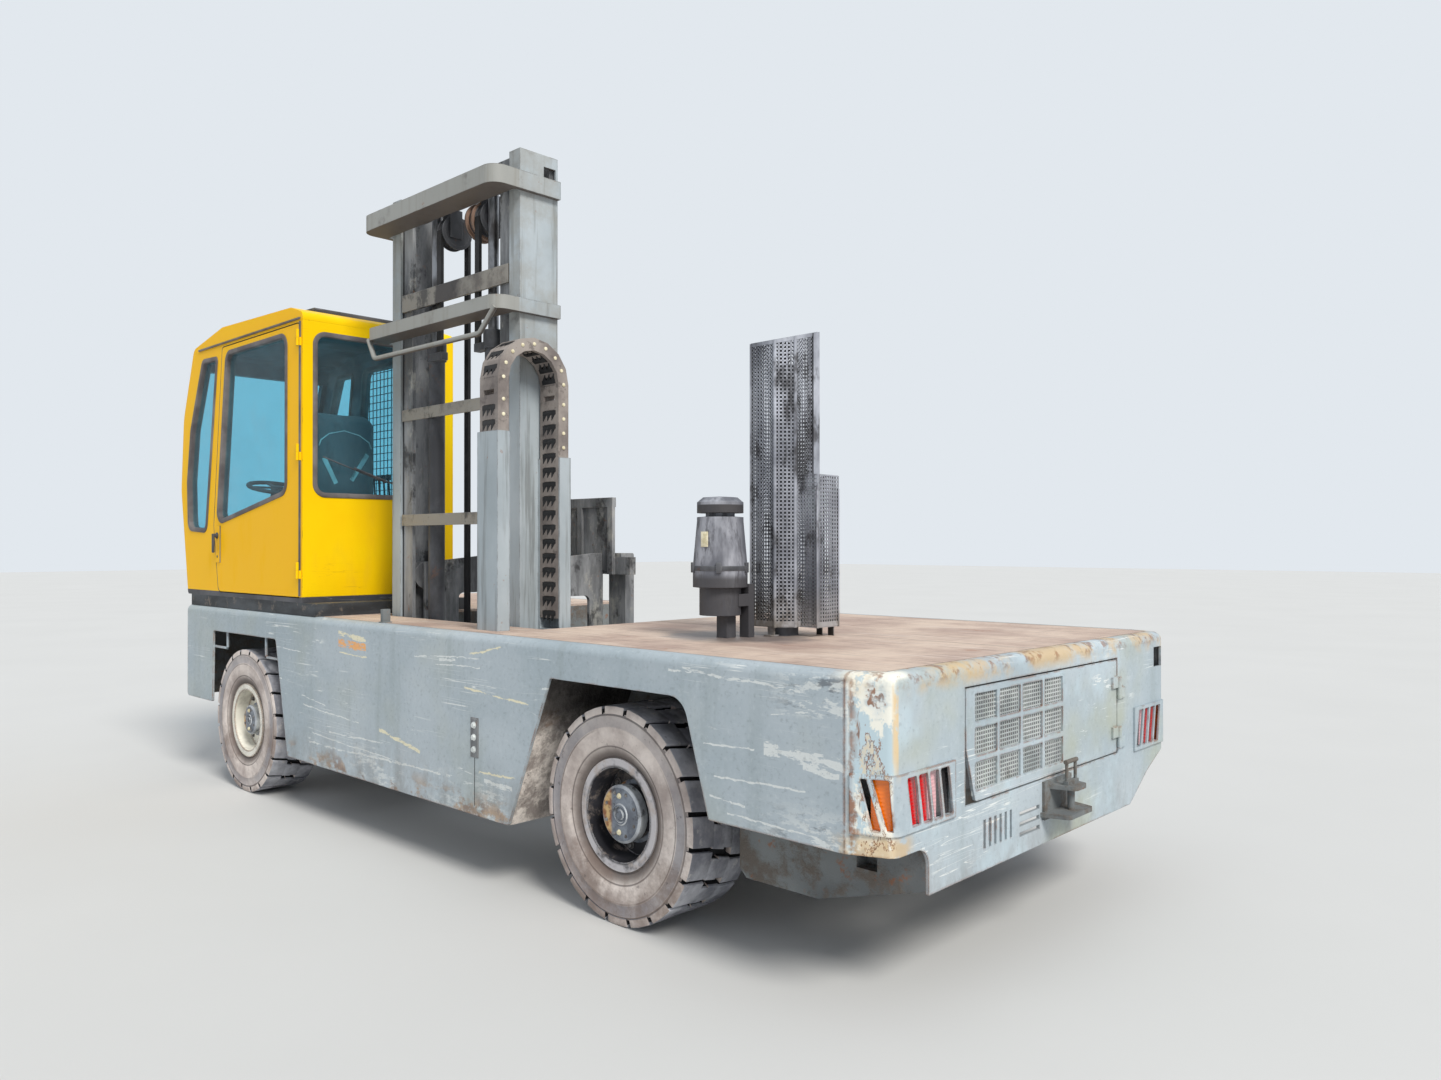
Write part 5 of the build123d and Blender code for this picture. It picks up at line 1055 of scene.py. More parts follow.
class SIDELOADER_OT_hubs(bpy.types.Operator):
    """Adds the hub cover, the wheel nuts and the small bolts of each rim"""

    bl_idname = "sideloader.hubs"
    bl_label = "Hubs"

    def execute(self, context):
        for end, reach, hub, nuts in (("rear", 0.130, 0.105, 10), ("front", 0.100, 0.080, 8)):
            for side, out in (("left", 1), ("right", -1)):
                low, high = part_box(f"{end}_{side}_tyre")
                centre = (Vector(low) + Vector(high)) / 2
                body = f"{end}_{side}_wheel"
                face = centre + Vector((0, out * reach, 0))
                cover = begin(f"{end}_{side}_hub_cover")
                turned([(hub + 0.005, -0.034 * out), (hub + 0.006, 0.0), (hub - 0.004, 0.007 * out),
                        (hub * 0.40, 0.007 * out), (hub * 0.36, 0.011 * out), (hub * 0.30, 0.011 * out),
                        (hub * 0.27, 0.005 * out), (hub * 0.20, 0.005 * out), (hub * 0.18, 0.014 * out),
                        (hub * 0.12, 0.016 * out)], face, "Y", 40)
                turned([(hub + 0.014, (0.045 - reach) * out), (hub + 0.016, (0.062 - reach) * out),
                        (hub + 0.004, (0.066 - reach) * out), (hub - 0.002, (0.066 - reach) * out)], face,
                       "Y", 40)
                done(cover, "hub_metal", body)
                places = around(centre, 0.152, nuts, out, 0.038)
                bolts(f"{end}_{side}_wheel_nuts", places, 0.013, "rim_nut", body)
                places = around(face, hub * 0.80, 8, out, 0.006, 0.5)
                bolts(f"{end}_{side}_hub_bolts", places, 0.006, "rim_nut", body)
                pair = [face + Vector((0.006 * out, out * 0.006, z * hub * 0.66)) for z in (-1, 1)]
                bolts(f"{end}_{side}_drain_bolts", [(at, (0, out, 0)) for at in pair], 0.009, "pin_cream",
                      body)
        return {"FINISHED"}


class TrimSizes(bpy.types.PropertyGroup):
    """The rubber and small parts of the cab."""

    gasket: bpy.props.FloatProperty(name="Gasket", description="Width of a window's rubber frame",
                                    unit="LENGTH",
                                    default=0.027)
    proud: bpy.props.FloatProperty(name="Proud", description="How far the rubber stands out of the panel",
                                   unit="LENGTH", default=0.006)


class SIDELOADER_OT_gaskets(bpy.types.Operator):
    """Runs a rubber frame round each window pane"""

    bl_idname = "sideloader.gaskets"
    bl_label = "Gaskets"

    def frame(self, name, node, across, middle, body, sizes, keep):
        """Rubber frame from the rim faces of a flat pane, widened in its plane and through the panel."""
        bpy.ops.object.select_all(action="DESELECT")
        pane = bpy.data.objects.new(name, NODES[node].data.copy())
        bpy.context.scene.collection.objects.link(pane)
        pick(pane)
        bpy.ops.object.mode_set(mode="EDIT")
        bpy.ops.mesh.select_all(action="SELECT")
        bpy.ops.mesh.remove_doubles(threshold=0.00005)
        mesh = bmesh.from_edit_mesh(pane.data)
        for face in mesh.faces:
            here = face.calc_center_median()
            rim = abs(face.normal[across]) < 0.5 and keep(here)
            face.select_set(not rim)
        bmesh.update_edit_mesh(pane.data)
        bpy.ops.mesh.delete(type="FACE")
        bpy.ops.mesh.select_all(action="SELECT")
        panel_thick, pane_thick = 0.045, 0.006
        scale = [1, 1, 1]
        scale[across] = (panel_thick + 2 * sizes.proud) / pane_thick
        override = [0, 0, 0]
        override[across] = middle
        bpy.ops.transform.resize(value=scale, center_override=override)
        modified(pane, "SOLIDIFY", thickness=sizes.gasket, offset=0, use_even_offset=True)
        modified(pane, "BEVEL", width=0.004, segments=2, limit_method="ANGLE", angle_limit=math.radians(50))
        done(pane, "rubber", body, smooth=40)

    def execute(self, context):
        sizes = context.scene.sideloader_trim
        left, right, rear = 1.0625, 0.1775, 1.0825
        self.frame("door_window_gasket", "cab_door_glass", 1, left, "cab_door", sizes, lambda at: True)
        self.frame("strip_window_gasket", "cab_glass", 1, left, "chassis", sizes, lambda at: at.y > 1.05)
        self.frame("right_window_gaskets", "cab_glass", 1, right, "chassis", sizes, lambda at: at.y < 0.19)
        self.frame("rear_window_gasket", "cab_glass", 0, rear, "chassis", sizes,
                   lambda at: at.x < 1.10 and 0.19 < at.y < 1.05)
        return {"FINISHED"}


class GuardSizes(bpy.types.PropertyGroup):
    """The mesh of the guards and of the engine door."""

    exhaust_pitch: bpy.props.FloatProperty(name="Exhaust mesh", description="Distance between its bars",
                                           unit="LENGTH", default=0.016)
    door_pitch: bpy.props.FloatProperty(name="Door mesh", description="Distance between its bars",
                                        unit="LENGTH", default=0.0145)
    window_pitch: bpy.props.FloatProperty(name="Window mesh", description="Distance between its bars",
                                          unit="LENGTH", default=0.048)


class SIDELOADER_OT_guards(bpy.types.Operator):
    """Models the mesh of the exhaust guards, the engine door and the window guard"""

    bl_idname = "sideloader.guards"
    bl_label = "Mesh guards"

    def exhaust(self, pitch):
        x, y = EXHAUST_X, EXHAUST_Y
        foot, top, head = 1.104, 2.37, 2.374
        plan = [(x - 0.095, y - 0.103), (x + 0.095, y - 0.103), (x + 0.095, y + 0.103),
                (x - 0.035, y + 0.103),
                (x - 0.095, y + 0.043)]
        parts = []
        for start, end in zip(plan, plan[1:] + plan[:1]):
            parts.append(bar_panel("exhaust_guard_mesh", start, end, foot, top, pitch, 0.0066, 0.003))
        corners = begin("corners")
        for u, v in plan:
            turned([(0.007, foot - 0.004), (0.007, top)], (u, v, 0), "Z", 8)
        block((x - 0.103, y - 0.108, foot), (x - 0.097, y - 0.070, top))
        block((x - 0.103, y - 0.112, foot), (x - 0.070, y - 0.106, top))
        parts.append(corners)
        guard = joined("exhaust_guard_mesh", parts)
        pick(guard)
        bpy.ops.object.mode_set(mode="EDIT")
        bpy.ops.mesh.select_all(action="SELECT")
        bpy.ops.mesh.bisect(plane_co=(x, y - 0.2, head), plane_no=(0, 0.104, 0.4), clear_outer=True)
        bpy.ops.object.mode_set(mode="OBJECT")
        frames = begin("frames")
        for start, end in zip(plan, plan[1:] + plan[:1]):
            self.strip(start, end, foot, foot + 0.022, 0.0)
            self.strip(start, end, head - 0.014, head + 0.002, -0.26, y - 0.2)
        low_x0, low_x1, low_y0, low_y1 = x - 0.186, x - 0.095, y - 0.131, y + 0.011
        for u, v in ((low_x0, low_y0), (low_x0, low_y1)):
            turned([(0.006, foot - 0.004), (0.006, 1.680)], (u, v, 0), "Z", 8)
        self.strip((low_x0, low_y0), (low_x0, low_y1), foot, foot + 0.02, 0.0)
        for u in (low_x0 + 0.02, low_x1 - 0.01):
            block((u - 0.015, low_y0 + 0.02, DECK_TOP), (u + 0.015, low_y0 + 0.026, foot + 0.04), 0.001)
        for at in ((x + 0.082, y - 0.09), (x - 0.005, y + 0.09)):
            block((at[0] - 0.018, at[1] - 0.004, DECK_TOP), (at[0] + 0.018, at[1] + 0.004, foot + 0.05),
                  0.0015)
            block((at[0] - 0.022, at[1] - 0.025, DECK_TOP), (at[0] + 0.022, at[1] + 0.025, 1.068), 0.0015)
        low = [bar_panel("low", a, b, foot, 1.733, pitch, 0.0066, 0.003) for a, b in (
            ((low_x0, low_y0), (low_x0, low_y1)), ((low_x0, low_y1), (low_x1, low_y1)),
            ((low_x0, low_y0), (low_x1, low_y0)))]
        shell = joined("exhaust_guard_mesh", [guard, frames] + low)
        done(shell, "guard_wire", "chassis", replaced=("exhaust_guard",))

    def strip(self, start, end, z0, z1, slope, level_y=0.0):
        """Flat strip along one side of the plan, with its edges falling across Y."""
        bpy.ops.mesh.select_all(action="DESELECT")
        middle = [(a + b) / 2 for a, b in zip(start, end)]
        run = Vector(end) - Vector(start)
        bpy.ops.mesh.primitive_cube_add(size=1, location=(*middle, (z0 + z1) / 2),
                                        scale=(run.length, 0.006, z1 - z0),
                                        rotation=(0, 0, math.atan2(run.y, run.x)))
        if slope:
            mesh = bmesh.from_edit_mesh(bpy.context.object.data)
            for vertex in mesh.verts:
                if vertex.select:
                    vertex.co.z += (vertex.co.y - level_y) * slope

    def door(self, pitch):
        low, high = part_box("engine_door")
        panel = bar_panel("engine_door_mesh", (low[0] + 0.026, low[1] + 0.085),
                          (low[0] + 0.026, high[1] - 0.05),
                          low[2] + 0.02, high[2] - 0.02, pitch, 0.0042, 0.0025)
        done(panel, "mesh_grey", "engine_door")

    def window(self, pitch):
        low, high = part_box("window_guard")
        depth = low[1] + 0.006
        panel = bar_panel("window_guard_mesh", (low[0] + 0.006, depth), (high[0] - 0.006, depth),
                          low[2] + 0.006,
                          high[2] - 0.006, pitch, 0.0045, 0.0045)
        edges = begin("edges")
        for x in (low[0], high[0] - 0.014):
            block((x, low[1], low[2]), (x + 0.014, low[1] + 0.014, high[2]), 0.002)
        for z in (low[2], high[2] - 0.014):
            block((low[0], low[1], z), (high[0], low[1] + 0.014, z + 0.014), 0.002)
        for x in (low[0] + 0.02, high[0] - 0.05):
            for z in (low[2] + 0.03, high[2] - 0.06):
                block((x, low[1] + 0.004, z), (x + 0.03, high[1], z + 0.006), 0.001)
        done(joined("window_guard_mesh", [panel, edges]), "dark_steel", "chassis", replaced=("window_guard",))

    def execute(self, context):
        sizes = context.scene.sideloader_guards
        self.exhaust(sizes.exhaust_pitch)
        self.door(sizes.door_pitch)
        self.window(sizes.window_pitch)
        return {"FINISHED"}


class ChainSizes(bpy.types.PropertyGroup):
    """The hose chain beside the mast."""

    pitch: bpy.props.FloatProperty(name="Pitch", description="Length of a link", unit="LENGTH", default=0.067)
    pin: bpy.props.FloatProperty(name="Pin", description="Radius of a pin head", unit="LENGTH",
                                 default=0.0085)
    tooth: bpy.props.FloatProperty(name="Tooth", description="Height of the wedges below a gap",
                                   unit="LENGTH",
                                   default=0.026)


class SIDELOADER_OT_hose_chain(bpy.types.Operator):
    """Adds the pin heads of the hose chain, and black notched sheets of painted shade in its gaps"""

    bl_idname = "sideloader.hose_chain"
    bl_label = "Hose chain"

    x0, x1 = -0.560, -0.420
    fixed_y, moving_y, arch_z, half = CHAIN_FIXED_Y, CHAIN_MOVING_Y, 2.190, 0.029

    def gap(self, sizes):
        """Black sheet of painted shade for a gap, with three wedges under it, on the face that looks along
        +Y.
        """
        gap = begin("gap")
        width = self.x1 - self.x0 - 0.042
        block((-width / 2, -0.004, 0), (width / 2, 0.0012, 0.020))
        for index in range(3):
            middle = (index - 1) * width * 0.33
            block((middle - width * 0.13, -0.004, -sizes.tooth), (middle + width * 0.15, 0.0012, 0.001))
            mesh = bmesh.from_edit_mesh(gap.data)
            for vertex in mesh.verts:
                if vertex.select and vertex.co.z < -0.01:
                    vertex.co.x = middle + width * 0.13 + (vertex.co.x - middle) * 0.12
            bmesh.update_edit_mesh(gap.data)
        return gap

    def pins(self, name, sizes, places):
        """Pin heads on both side plates at the (y, z) places."""
        pin = begin(name)
        turned([(sizes.pin, 0), (sizes.pin, 0.003), (sizes.pin * 0.7, 0.0045)], (0, 0, 0), "Z", 12)
        matrices = []
        for y, z in places:
            matrices.append(facing((-1, 0, 0), (self.x0, y, z)))
            matrices.append(facing((1, 0, 0), (self.x1, y, z)))
        return placed(pin, matrices)

    def execute(self, context):
        sizes = context.scene.sideloader_chain
        middle = (self.x0 + self.x1) / 2
        mid_y, radius = (self.fixed_y + self.moving_y) / 2, (self.fixed_y - self.moving_y) / 2
        for name, y, z0, pins_z, body in (("hose_chain_fixed", self.fixed_y, 1.362, 1.93, "chassis"),
                                          ("hose_chain_moving", self.moving_y, 1.100, 1.80, "mast")):
            count = int((self.arch_z - z0 - 0.03) / sizes.pitch)
            levels = [z0 + 0.014 + sizes.pitch * index for index in range(count)]
            gaps = placed(self.gap(sizes), [Matrix.Translation((middle, y + self.half, z)) for z in levels])
            gaps.name = name + "_gaps"
            done(gaps, "chain_black_and_gap_shade", body)
            pins = self.pins(name + "_pins", sizes, [(y, z + 0.045) for z in levels if z > pins_z])
            done(pins, "pin_cream", body)
        links = 8
        places, turns = [], []
        for index in range(links):
            turn = math.pi * (index + 0.5) / links
            arm = Vector((0, math.cos(turn), math.sin(turn)))
            tilt = Matrix.Rotation(turn, 4, "X")
            for side, spin in ((1, 0), (-1, math.pi)):
                reach = (radius + self.half * side) * math.cos(math.pi / links / 2)
                at = Matrix.Translation(Vector((middle, mid_y, self.arch_z)) + arm * reach)
                turns.append(at @ tilt @ Matrix.Rotation(spin, 4, "Z"))
        for index in range(links + 1):
            turn = math.pi * index / links
            places.append((mid_y + radius * math.cos(turn), self.arch_z + radius * math.sin(turn)))
        gaps = placed(self.gap(sizes), turns)
        gaps.name = "hose_chain_arch_gaps"
        pins = self.pins("hose_chain_arch_pins", sizes, places)
        for piece, finish_name in ((gaps, "chain_black_and_gap_shade"), (pins, "pin_cream")):
            done(piece, finish_name, None)
            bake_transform(piece)
        return {"FINISHED"}


class SIDELOADER_OT_stretching(bpy.types.Operator):
    """Copies the arch of the hose chain and the lift chains as loose pieces in place of their solids"""

    bl_idname = "sideloader.stretching"
    bl_label = "Stretching pieces"

    def between(self, node, finish_name, cuts, *reach):
        """The solid's own mesh, copied as a loose piece in place of the solid and cut finer when cuts are
        given.
        """
        piece = begin(node + "_reach")
        bpy.ops.object.mode_set(mode="OBJECT")
        piece.data = NODES[node].data.copy()
        piece.data.transform(NODES[node].matrix_world)
        if cuts:
            pick(piece)
            bpy.ops.object.mode_set(mode="EDIT")
            bpy.ops.mesh.select_all(action="SELECT")
            bpy.ops.mesh.subdivide(number_cuts=cuts)
        done(piece, finish_name, None, replaced=(node,))
        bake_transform(piece)

    def execute(self, context):
        low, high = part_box("hose_chain_arch")
        ends = [((low[0] + high[0]) / 2, y, low[2]) for y in (CHAIN_FIXED_Y, CHAIN_MOVING_Y)]
        self.between("hose_chain_arch", "hose_links", 2, "chassis", "mast", *ends)
        low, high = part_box("chain_anchor_strands")
        ends = [low, (low[0], low[1], high[2])]
        self.between("chain_anchor_strands", "chain_black_and_gap_shade", 0, "mast", "inner_mast", *ends)
        low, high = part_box("chain_carriage_strands")
        ends = [(low[0], low[1], high[2]), low]
        self.between("chain_carriage_strands", "chain_black_and_gap_shade", 0, "inner_mast", "carriage", *ends)
        return {"FINISHED"}


class SIDELOADER_OT_mast_head(bpy.types.Operator):
    """Adds the rims of the hose drum and the caps of the sheaves"""

    bl_idname = "sideloader.mast_head"
    bl_label = "Mast head"

    def execute(self, context):
        drum = begin("hose_drum_rims")
        for x in (0.010, 0.066):
            turned([(0.098, x), (0.098, x + 0.012), (0.080, x + 0.016)], SHEAVES, "X", 40)
        turned([(0.084, 0.012), (0.084, 0.076)], SHEAVES, "X", 40)
        done(drum, "drum_rim", "inner_mast")
        face = begin("sheave_caps")
        for x in (-0.047, 0.298):
            turned([(0.088, x), (0.088, x - 0.004), (0.070, x - 0.006), (0.064, x - 0.003),
                    (0.030, x - 0.003),
                    (0.026, x - 0.010)], SHEAVES, "X", 40)
        done(face, "dark_steel", "inner_mast")
        return {"FINISHED"}


class SIDELOADER_OT_cab_trim(bpy.types.Operator):
    """Adds the cab's door seal, gutter, handle and rear wiper"""

    bl_idname = "sideloader.cab_trim"
    bl_label = "Cab trim"

    def execute(self, context):
        of_blocks("door_seal", "rubber", ((1.0785, 1.083, 1.165), (1.0985, 1.0895, 2.655), 0.002))
        of_blocks("roof_gutter", "rubber", ((1.085, 1.083, 2.664), (2.500, 1.094, 2.676), 0.003))
        handle = begin("door_handle")
        turned([(0.019, 0.0), (0.019, 0.010), (0.012, 0.014), (0.012, 0.030)], (2.195, 1.086, 1.500), "Y", 20)
        block((2.184, 1.108, 1.395), (2.206, 1.122, 1.512), 0.005)
        turned([(0.008, 0.0), (0.008, 0.006)], (2.195, 1.086, 1.372), "Y", 16)
        done(handle, "black_plastic", "cab_door")
        wiper = begin("rear_wiper")
        turned([(0.016, 0.0), (0.016, -0.022), (0.010, -0.028)], (1.060, 0.440, 1.752), "X", 16)
        rod((1.040, 0.440, 1.752), (1.040, 0.780, 1.866), 0.0045)
        block((1.043, 0.590, 1.858), (1.052, 0.985, 1.864), 0.001, (math.radians(18.5), 0, 0))
        rod((1.044, 0.776, 1.862), (1.050, 0.792, 1.872), 0.007)
        done(wiper, "black_plastic", "chassis")
        return {"FINISHED"}


class SeatSizes(bpy.types.PropertyGroup):
    """How the seat's padding is stuffed."""

    voxel: bpy.props.FloatProperty(name="Voxel", description="Size of the padding's mesh", unit="LENGTH",
                                   default=0.010)
    pressure: bpy.props.FloatProperty(name="Pressure", description="Pressure that swells the padding",
                                      default=4.0)
    swell: bpy.props.FloatProperty(name="Swell", description="How far a point may move", unit="LENGTH",
                                   default=0.018)


class SIDELOADER_OT_seat(bpy.types.Operator):
    """Swells the seat's cushion and back, and adds the hoop and straps behind them"""

    bl_idname = "sideloader.seat"
    bl_label = "Seat"

    frames = 20

    def pad(self, name, node, inset, corner, sizes):
        """Cushion that starts smaller than its solid and swells as cloth under pressure."""
        low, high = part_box(node)
        low = [a + b for a, b in zip(low, inset)]
        high = [a - b for a, b in zip(high, inset)]
        thin = min(range(3), key=lambda axis: high[axis] - low[axis])
        pad = begin(name)
        block(low, high)
        mesh = bmesh.from_edit_mesh(pad.data)
        for edge in mesh.edges:
            run = edge.verts[1].co - edge.verts[0].co
            edge.select_set(abs(run[thin]) > run.length * 0.9)
        bmesh.update_edit_mesh(pad.data)
        bpy.ops.mesh.bevel(offset=corner, segments=5, affect="EDGES")
        bpy.ops.mesh.select_all(action="SELECT")
        modified(pad, "BEVEL", width=(high[thin] - low[thin]) * 0.36, segments=4, limit_method="ANGLE",
                 angle_limit=math.radians(60))
        modified(pad, "REMESH", mode="VOXEL", voxel_size=sizes.voxel)
        start = [vertex.co.copy() for vertex in pad.data.vertices]
        pick(pad)
        cloth = pad.modifiers.new("Cloth", "CLOTH")
        cloth.settings.use_pressure = True
        cloth.settings.uniform_pressure_force = sizes.pressure
        cloth.settings.effector_weights.gravity = 0
        cloth.settings.quality = 5
        scene = bpy.context.scene
        for frame_number in range(1, self.frames + 1):
            scene.frame_set(frame_number)
        bpy.ops.object.modifier_apply(modifier=cloth.name)
        scene.frame_set(1)
        for vertex, before in zip(pad.data.vertices, start):
            moved = vertex.co - before
            if moved.length > sizes.swell:
                vertex.co = before + moved * (sizes.swell / moved.length)
        modified(pad, "SUBSURF", levels=1)
        done(pad, "seat_fabric", "chassis", smooth=180, replaced=(node,))

    def execute(self, context):
        sizes = context.scene.sideloader_seat
        self.pad("seat_cushion_pad", "seat_cushion", (0.016, 0.016, 0.014), 0.060, sizes)
        self.pad("seat_back_pad", "seat_back", (0.014, 0.016, 0.016), 0.085, sizes)
        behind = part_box("seat_back")[0][0] - 0.001
        straps = begin("seat_back_straps")
        hoop = [(behind, y, z) for y,
                z in ((0.925, 2.000), (0.915, 2.032), (0.868, 2.070), (0.778, 2.092), (0.686, 2.072),
                                            (0.625, 2.034), (0.612, 2.000))]
        chain_of_rods(hoop, 0.0042)
        for start, end in (((0.897, 1.932), (0.825, 1.789)), ((0.636, 1.965), (0.735, 1.810))):
            middle = [(a + b) / 2 for a, b in zip(start, end)]
            length = math.hypot(end[0] - start[0], end[1] - start[1])
            lean = math.atan2(end[0] - start[0], start[1] - end[1])
            block((behind - 0.003, middle[0] - 0.014, middle[1] - length / 2),
                  (behind + 0.003, middle[0] + 0.014, middle[1] + length / 2), 0.001, (lean, 0, 0))
        done(straps, "mesh_grey", "chassis")
        return {"FINISHED"}


class SIDELOADER_OT_chassis_trim(bpy.types.Operator):
    """Adds the side plate, arch brackets, deck post, corner lenses and the air cleaner's clips"""

    bl_idname = "sideloader.chassis_trim"
    bl_label = "Chassis trim"

    def execute(self, context):
        of_blocks("side_plate", "greasy_steel", ((-0.640, 1.098, 0.535), (-0.580, 1.1075, 0.706), 0.002),
                  ((-0.634, 1.100, 0.541), (-0.586, 1.109, 0.700), 0.001))
        places = [((-0.610, 1.108, z), (0, 1, 0)) for z in (0.570, 0.622, 0.674)]
        bolts("side_plate_bolts", places, 0.012, "mesh_grey", "chassis")
        of_blocks("side_seam", "chain_black_and_gap_shade", ((-0.612, 1.098, 0.330), (-0.6085, 1.1056, 0.535)))
        legs = ((2.024, 2.040, 0.815, 0.925), (2.024, 2.236, 0.815, 0.829), (1.486, 1.502, 0.800, 0.925),
                (1.330, 1.502, 0.800, 0.814))
        rows = [((x0, 1.082 * side, z0), (x1, 1.096 * side, z1), 0.002)
                for side in (-1, 1) for x0, x1, z0, z1 in legs]
        of_blocks("arch_brackets", "chassis_paint", *rows)
        of_blocks("deck_post", "frame_steel", ((0.262, 1.010, 1.060), (0.290, 1.050, 1.128), 0.003),
                  ((0.256, 1.004, 1.060), (0.296, 1.056, 1.067), 0.002))
        lenses = begin("corner_lenses")
        for side in (-1, 1):
            turn = math.atan2(0.060 * side, 0.143)
            middle = (-2.663, 1.030 * side)
            block((middle[0] - 0.027, middle[1] - 0.009, 0.608),
                  (middle[0] + 0.027, middle[1] + 0.009, 0.736), 0.002, (0, 0, turn))
        done(lenses, "lamp", "chassis")
        clips = begin("air_cleaner_clips")
        turned([(0.1145, 1.338), (0.1155, 1.342), (0.1155, 1.354), (0.1145, 1.358), (0.106, 1.358),
                (0.106, 1.338)], CLEANER, "Z", 48, closed=True)
        for degrees in (60, 130, 200, 290):
            turn = math.radians(degrees)
            at = CLEANER + Vector((math.cos(turn), math.sin(turn), 0)) * 0.116
            block((at.x - 0.007, at.y - 0.011, 1.330), (at.x + 0.007, at.y + 0.011, 1.372), 0.002,
                  (0, 0, turn))
        done(clips, "dark_steel", "chassis")
        label = begin("air_cleaner_plate")
        turn = math.radians(96)
        at = CLEANER + Vector((math.cos(turn), math.sin(turn), 0)) * 0.1052
        block((at.x - 0.002, at.y - 0.017, 1.435), (at.x + 0.002, at.y + 0.017, 1.497), 0.0005, (0, 0, turn))
        done(label, "pin_cream", "chassis")
        return {"FINISHED"}


class StageSizes(bpy.types.PropertyGroup):
    """Where the camera stands, and how bright the studio is."""

    eye: bpy.props.FloatVectorProperty(name="Eye", description="Camera position", size=3,
                                       subtype="TRANSLATION",
                                       default=(-4.423, 3.629, 1.4435))
    heading: bpy.props.FloatProperty(name="Heading", description="Camera direction, turned from +X about +Z",
                                     subtype="ANGLE", default=-0.8163)
    pitch: bpy.props.FloatProperty(name="Pitch", description="Camera tilt above level", subtype="ANGLE",
                                   default=0.0046)
    lens: bpy.props.FloatProperty(name="Lens", description="Focal length in mm on a 36 mm wide sensor",
                                  default=26.02)
    sun_toward: bpy.props.FloatVectorProperty(name="Sun", description="Direction of the sun", size=3,
                                              subtype="DIRECTION", default=(-0.68, 0.20, 0.70))
    sun_strength: bpy.props.FloatProperty(name="Sun strength", description="Strength of the sun", default=2.7)
    sun_softness: bpy.props.FloatProperty(name="Sun softness", description="Angle that the sun covers",
                                          subtype="ANGLE", default=0.35)
    floor_half: bpy.props.FloatProperty(name="Floor", description="Half the floor's side", unit="LENGTH",
                                        default=60)


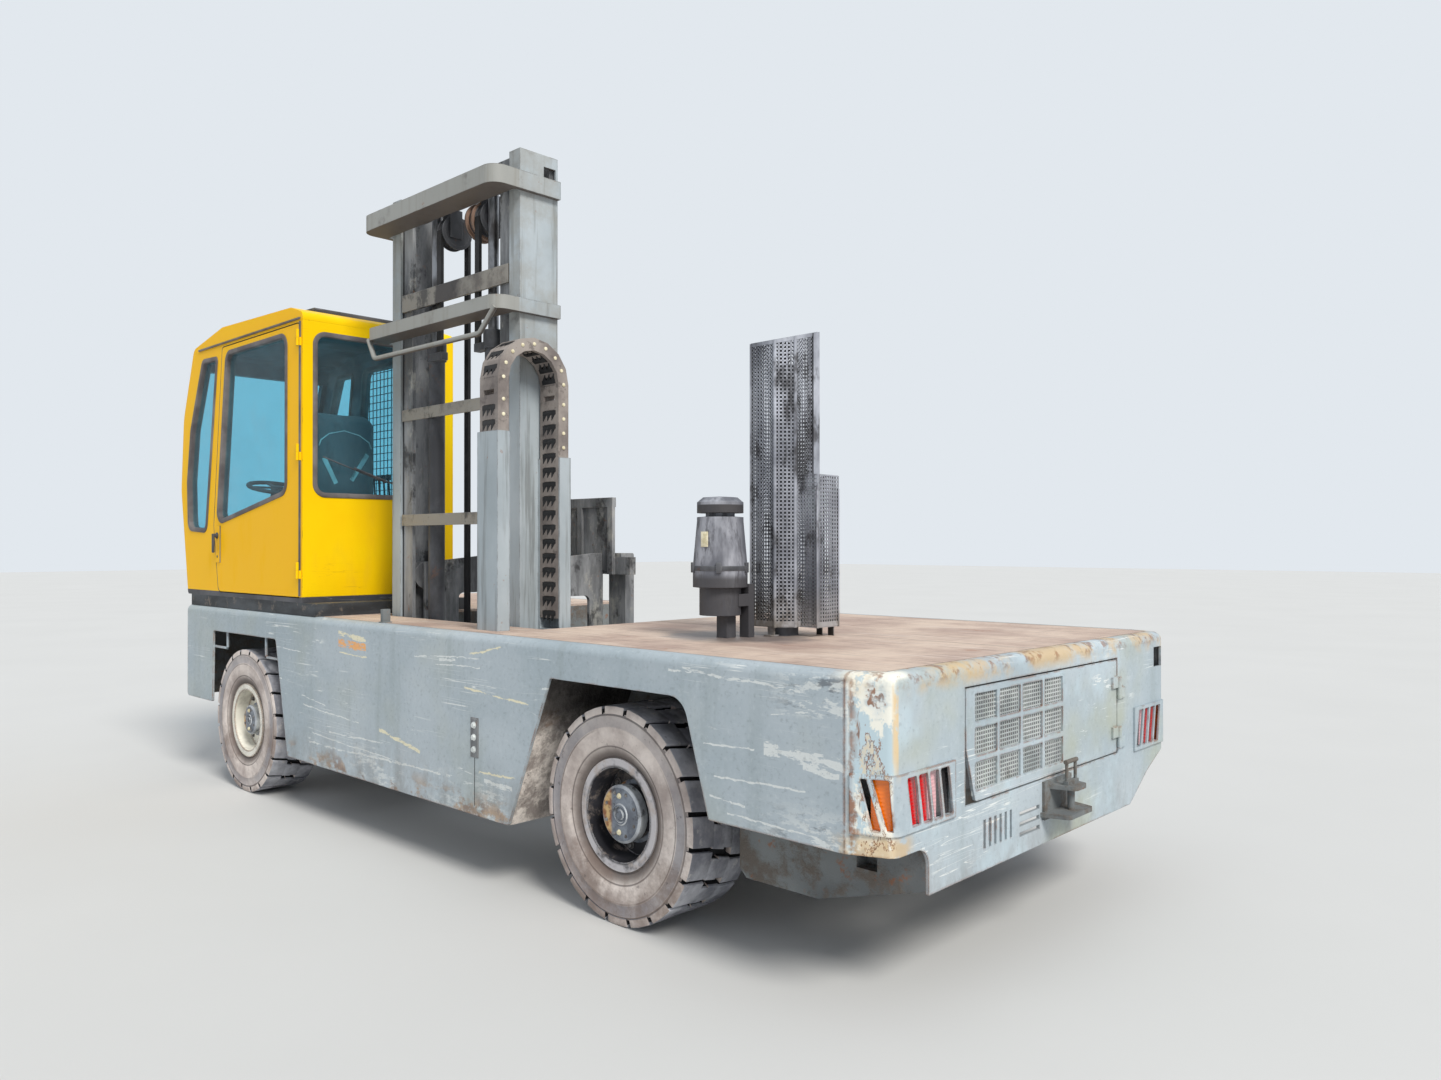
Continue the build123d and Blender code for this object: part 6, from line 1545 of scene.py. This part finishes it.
class SIDELOADER_OT_stage(bpy.types.Operator):
    """Adds the pale floor, the soft studio light and the camera"""

    bl_idname = "sideloader.stage"
    bl_label = "Stage"

    def floor(self, half):
        bpy.ops.object.select_all(action="DESELECT")
        bpy.ops.mesh.primitive_plane_add(size=2 * half, location=(0, 0, 0))
        floor = bpy.context.object
        floor.name = "floor"
        f = Finish("floor")
        f.ground(colour(206, 206, 204), colour(214, 214, 212), f.cloud(0.6, 3))
        f.surface(Roughness=0.9)
        floor.data.materials.append(f.material)

    def sun(self, name, toward, strength, softness, warmth):
        light = bpy.data.lights.new(name, "SUN")
        light.energy = strength
        light.angle = softness
        light.color = warmth
        lamp = bpy.data.objects.new(name, light)
        lamp.rotation_euler = Vector(toward).to_track_quat("Z", "Y").to_euler()
        bpy.context.scene.collection.objects.link(lamp)

    def sky(self):
        world = bpy.context.scene.world or bpy.data.worlds.new("studio")
        bpy.context.scene.world = world
        world.use_nodes = True
        tree = world.node_tree
        tree.nodes.clear()
        path, shown, soft, seen, mix, out = (tree.nodes.new("ShaderNode" + kind) for kind in (
            "LightPath", "Math", "Background", "Background", "MixShader", "OutputWorld"))
        shown.operation = "MAXIMUM"
        for background, shade, strength in ((seen, colour(226, 232, 238), 1.0),
                                            (soft, (0.86, 0.92, 1.0, 1), 0.62)):
            background.inputs["Color"].default_value = shade
            background.inputs["Strength"].default_value = strength
        for start, end in ((path.outputs["Is Camera Ray"], shown.inputs[0]),
                           (path.outputs["Is Glossy Ray"], shown.inputs[1]),
                           (shown.outputs[0], mix.inputs[0]), (soft.outputs[0], mix.inputs[1]),
                           (seen.outputs[0], mix.inputs[2]),
                           (mix.outputs[0], out.inputs["Surface"])):
            tree.links.new(start, end)

    def camera(self, sizes):
        view = bpy.data.cameras.new("camera")
        view.lens = sizes.lens
        view.sensor_width = 36
        view.sensor_fit = "HORIZONTAL"
        view.clip_end = 300
        camera = bpy.data.objects.new("camera", view)
        level = math.cos(sizes.pitch)
        aim = Vector((level * math.cos(sizes.heading), level * math.sin(sizes.heading),
                      math.sin(sizes.pitch)))
        camera.location = sizes.eye
        camera.rotation_euler = aim.to_track_quat("-Z", "Y").to_euler()
        bpy.context.scene.collection.objects.link(camera)
        bpy.context.scene.camera = camera

    def execute(self, context):
        sizes = context.scene.sideloader_stage
        self.floor(sizes.floor_half)
        self.sky()
        self.sun("key", sizes.sun_toward, sizes.sun_strength, sizes.sun_softness, (1, 0.97, 0.92))
        self.camera(sizes)
        context.scene.view_settings.view_transform = "Standard"
        return {"FINISHED"}


OPERATORS = (SIDELOADER_OT_stage, SIDELOADER_OT_finishes, SIDELOADER_OT_tyres, SIDELOADER_OT_hubs,
             SIDELOADER_OT_gaskets, SIDELOADER_OT_guards, SIDELOADER_OT_hose_chain,
             SIDELOADER_OT_stretching, SIDELOADER_OT_mast_head, SIDELOADER_OT_cab_trim, SIDELOADER_OT_seat,
             SIDELOADER_OT_chassis_trim)
GROUPS = {"sideloader_stage": StageSizes, "sideloader_tyres": TyreSizes, "sideloader_trim": TrimSizes,
          "sideloader_guards": GuardSizes, "sideloader_chain": ChainSizes, "sideloader_seat": SeatSizes}


class SIDELOADER_PT_panel(bpy.types.Panel):
    """Lists the steps that dress the truck"""

    bl_idname = "SIDELOADER_PT_panel"
    bl_label = "Side Loader"
    bl_space_type = "VIEW_3D"
    bl_region_type = "UI"
    bl_category = "Side Loader"

    def draw(self, context):
        for step in OPERATORS:
            self.layout.operator(step.bl_idname)
        for name, group in GROUPS.items():
            for size in group.__annotations__:
                self.layout.prop(getattr(context.scene, name), size)


def register():
    for name, group in GROUPS.items():
        bpy.utils.register_class(group)
        setattr(bpy.types.Scene, name, bpy.props.PointerProperty(type=group))
    for step in OPERATORS + (SIDELOADER_PT_panel,):
        bpy.utils.register_class(step)


def unregister():
    for step in reversed(OPERATORS + (SIDELOADER_PT_panel,)):
        bpy.utils.unregister_class(step)
    for name, group in reversed(GROUPS.items()):
        delattr(bpy.types.Scene, name)
        bpy.utils.unregister_class(group)


def main():
    register()
    for step in OPERATORS:
        group, name = step.bl_idname.split(".")
        getattr(getattr(bpy.ops, group), name)()


if __name__ == "__main__":
    main()
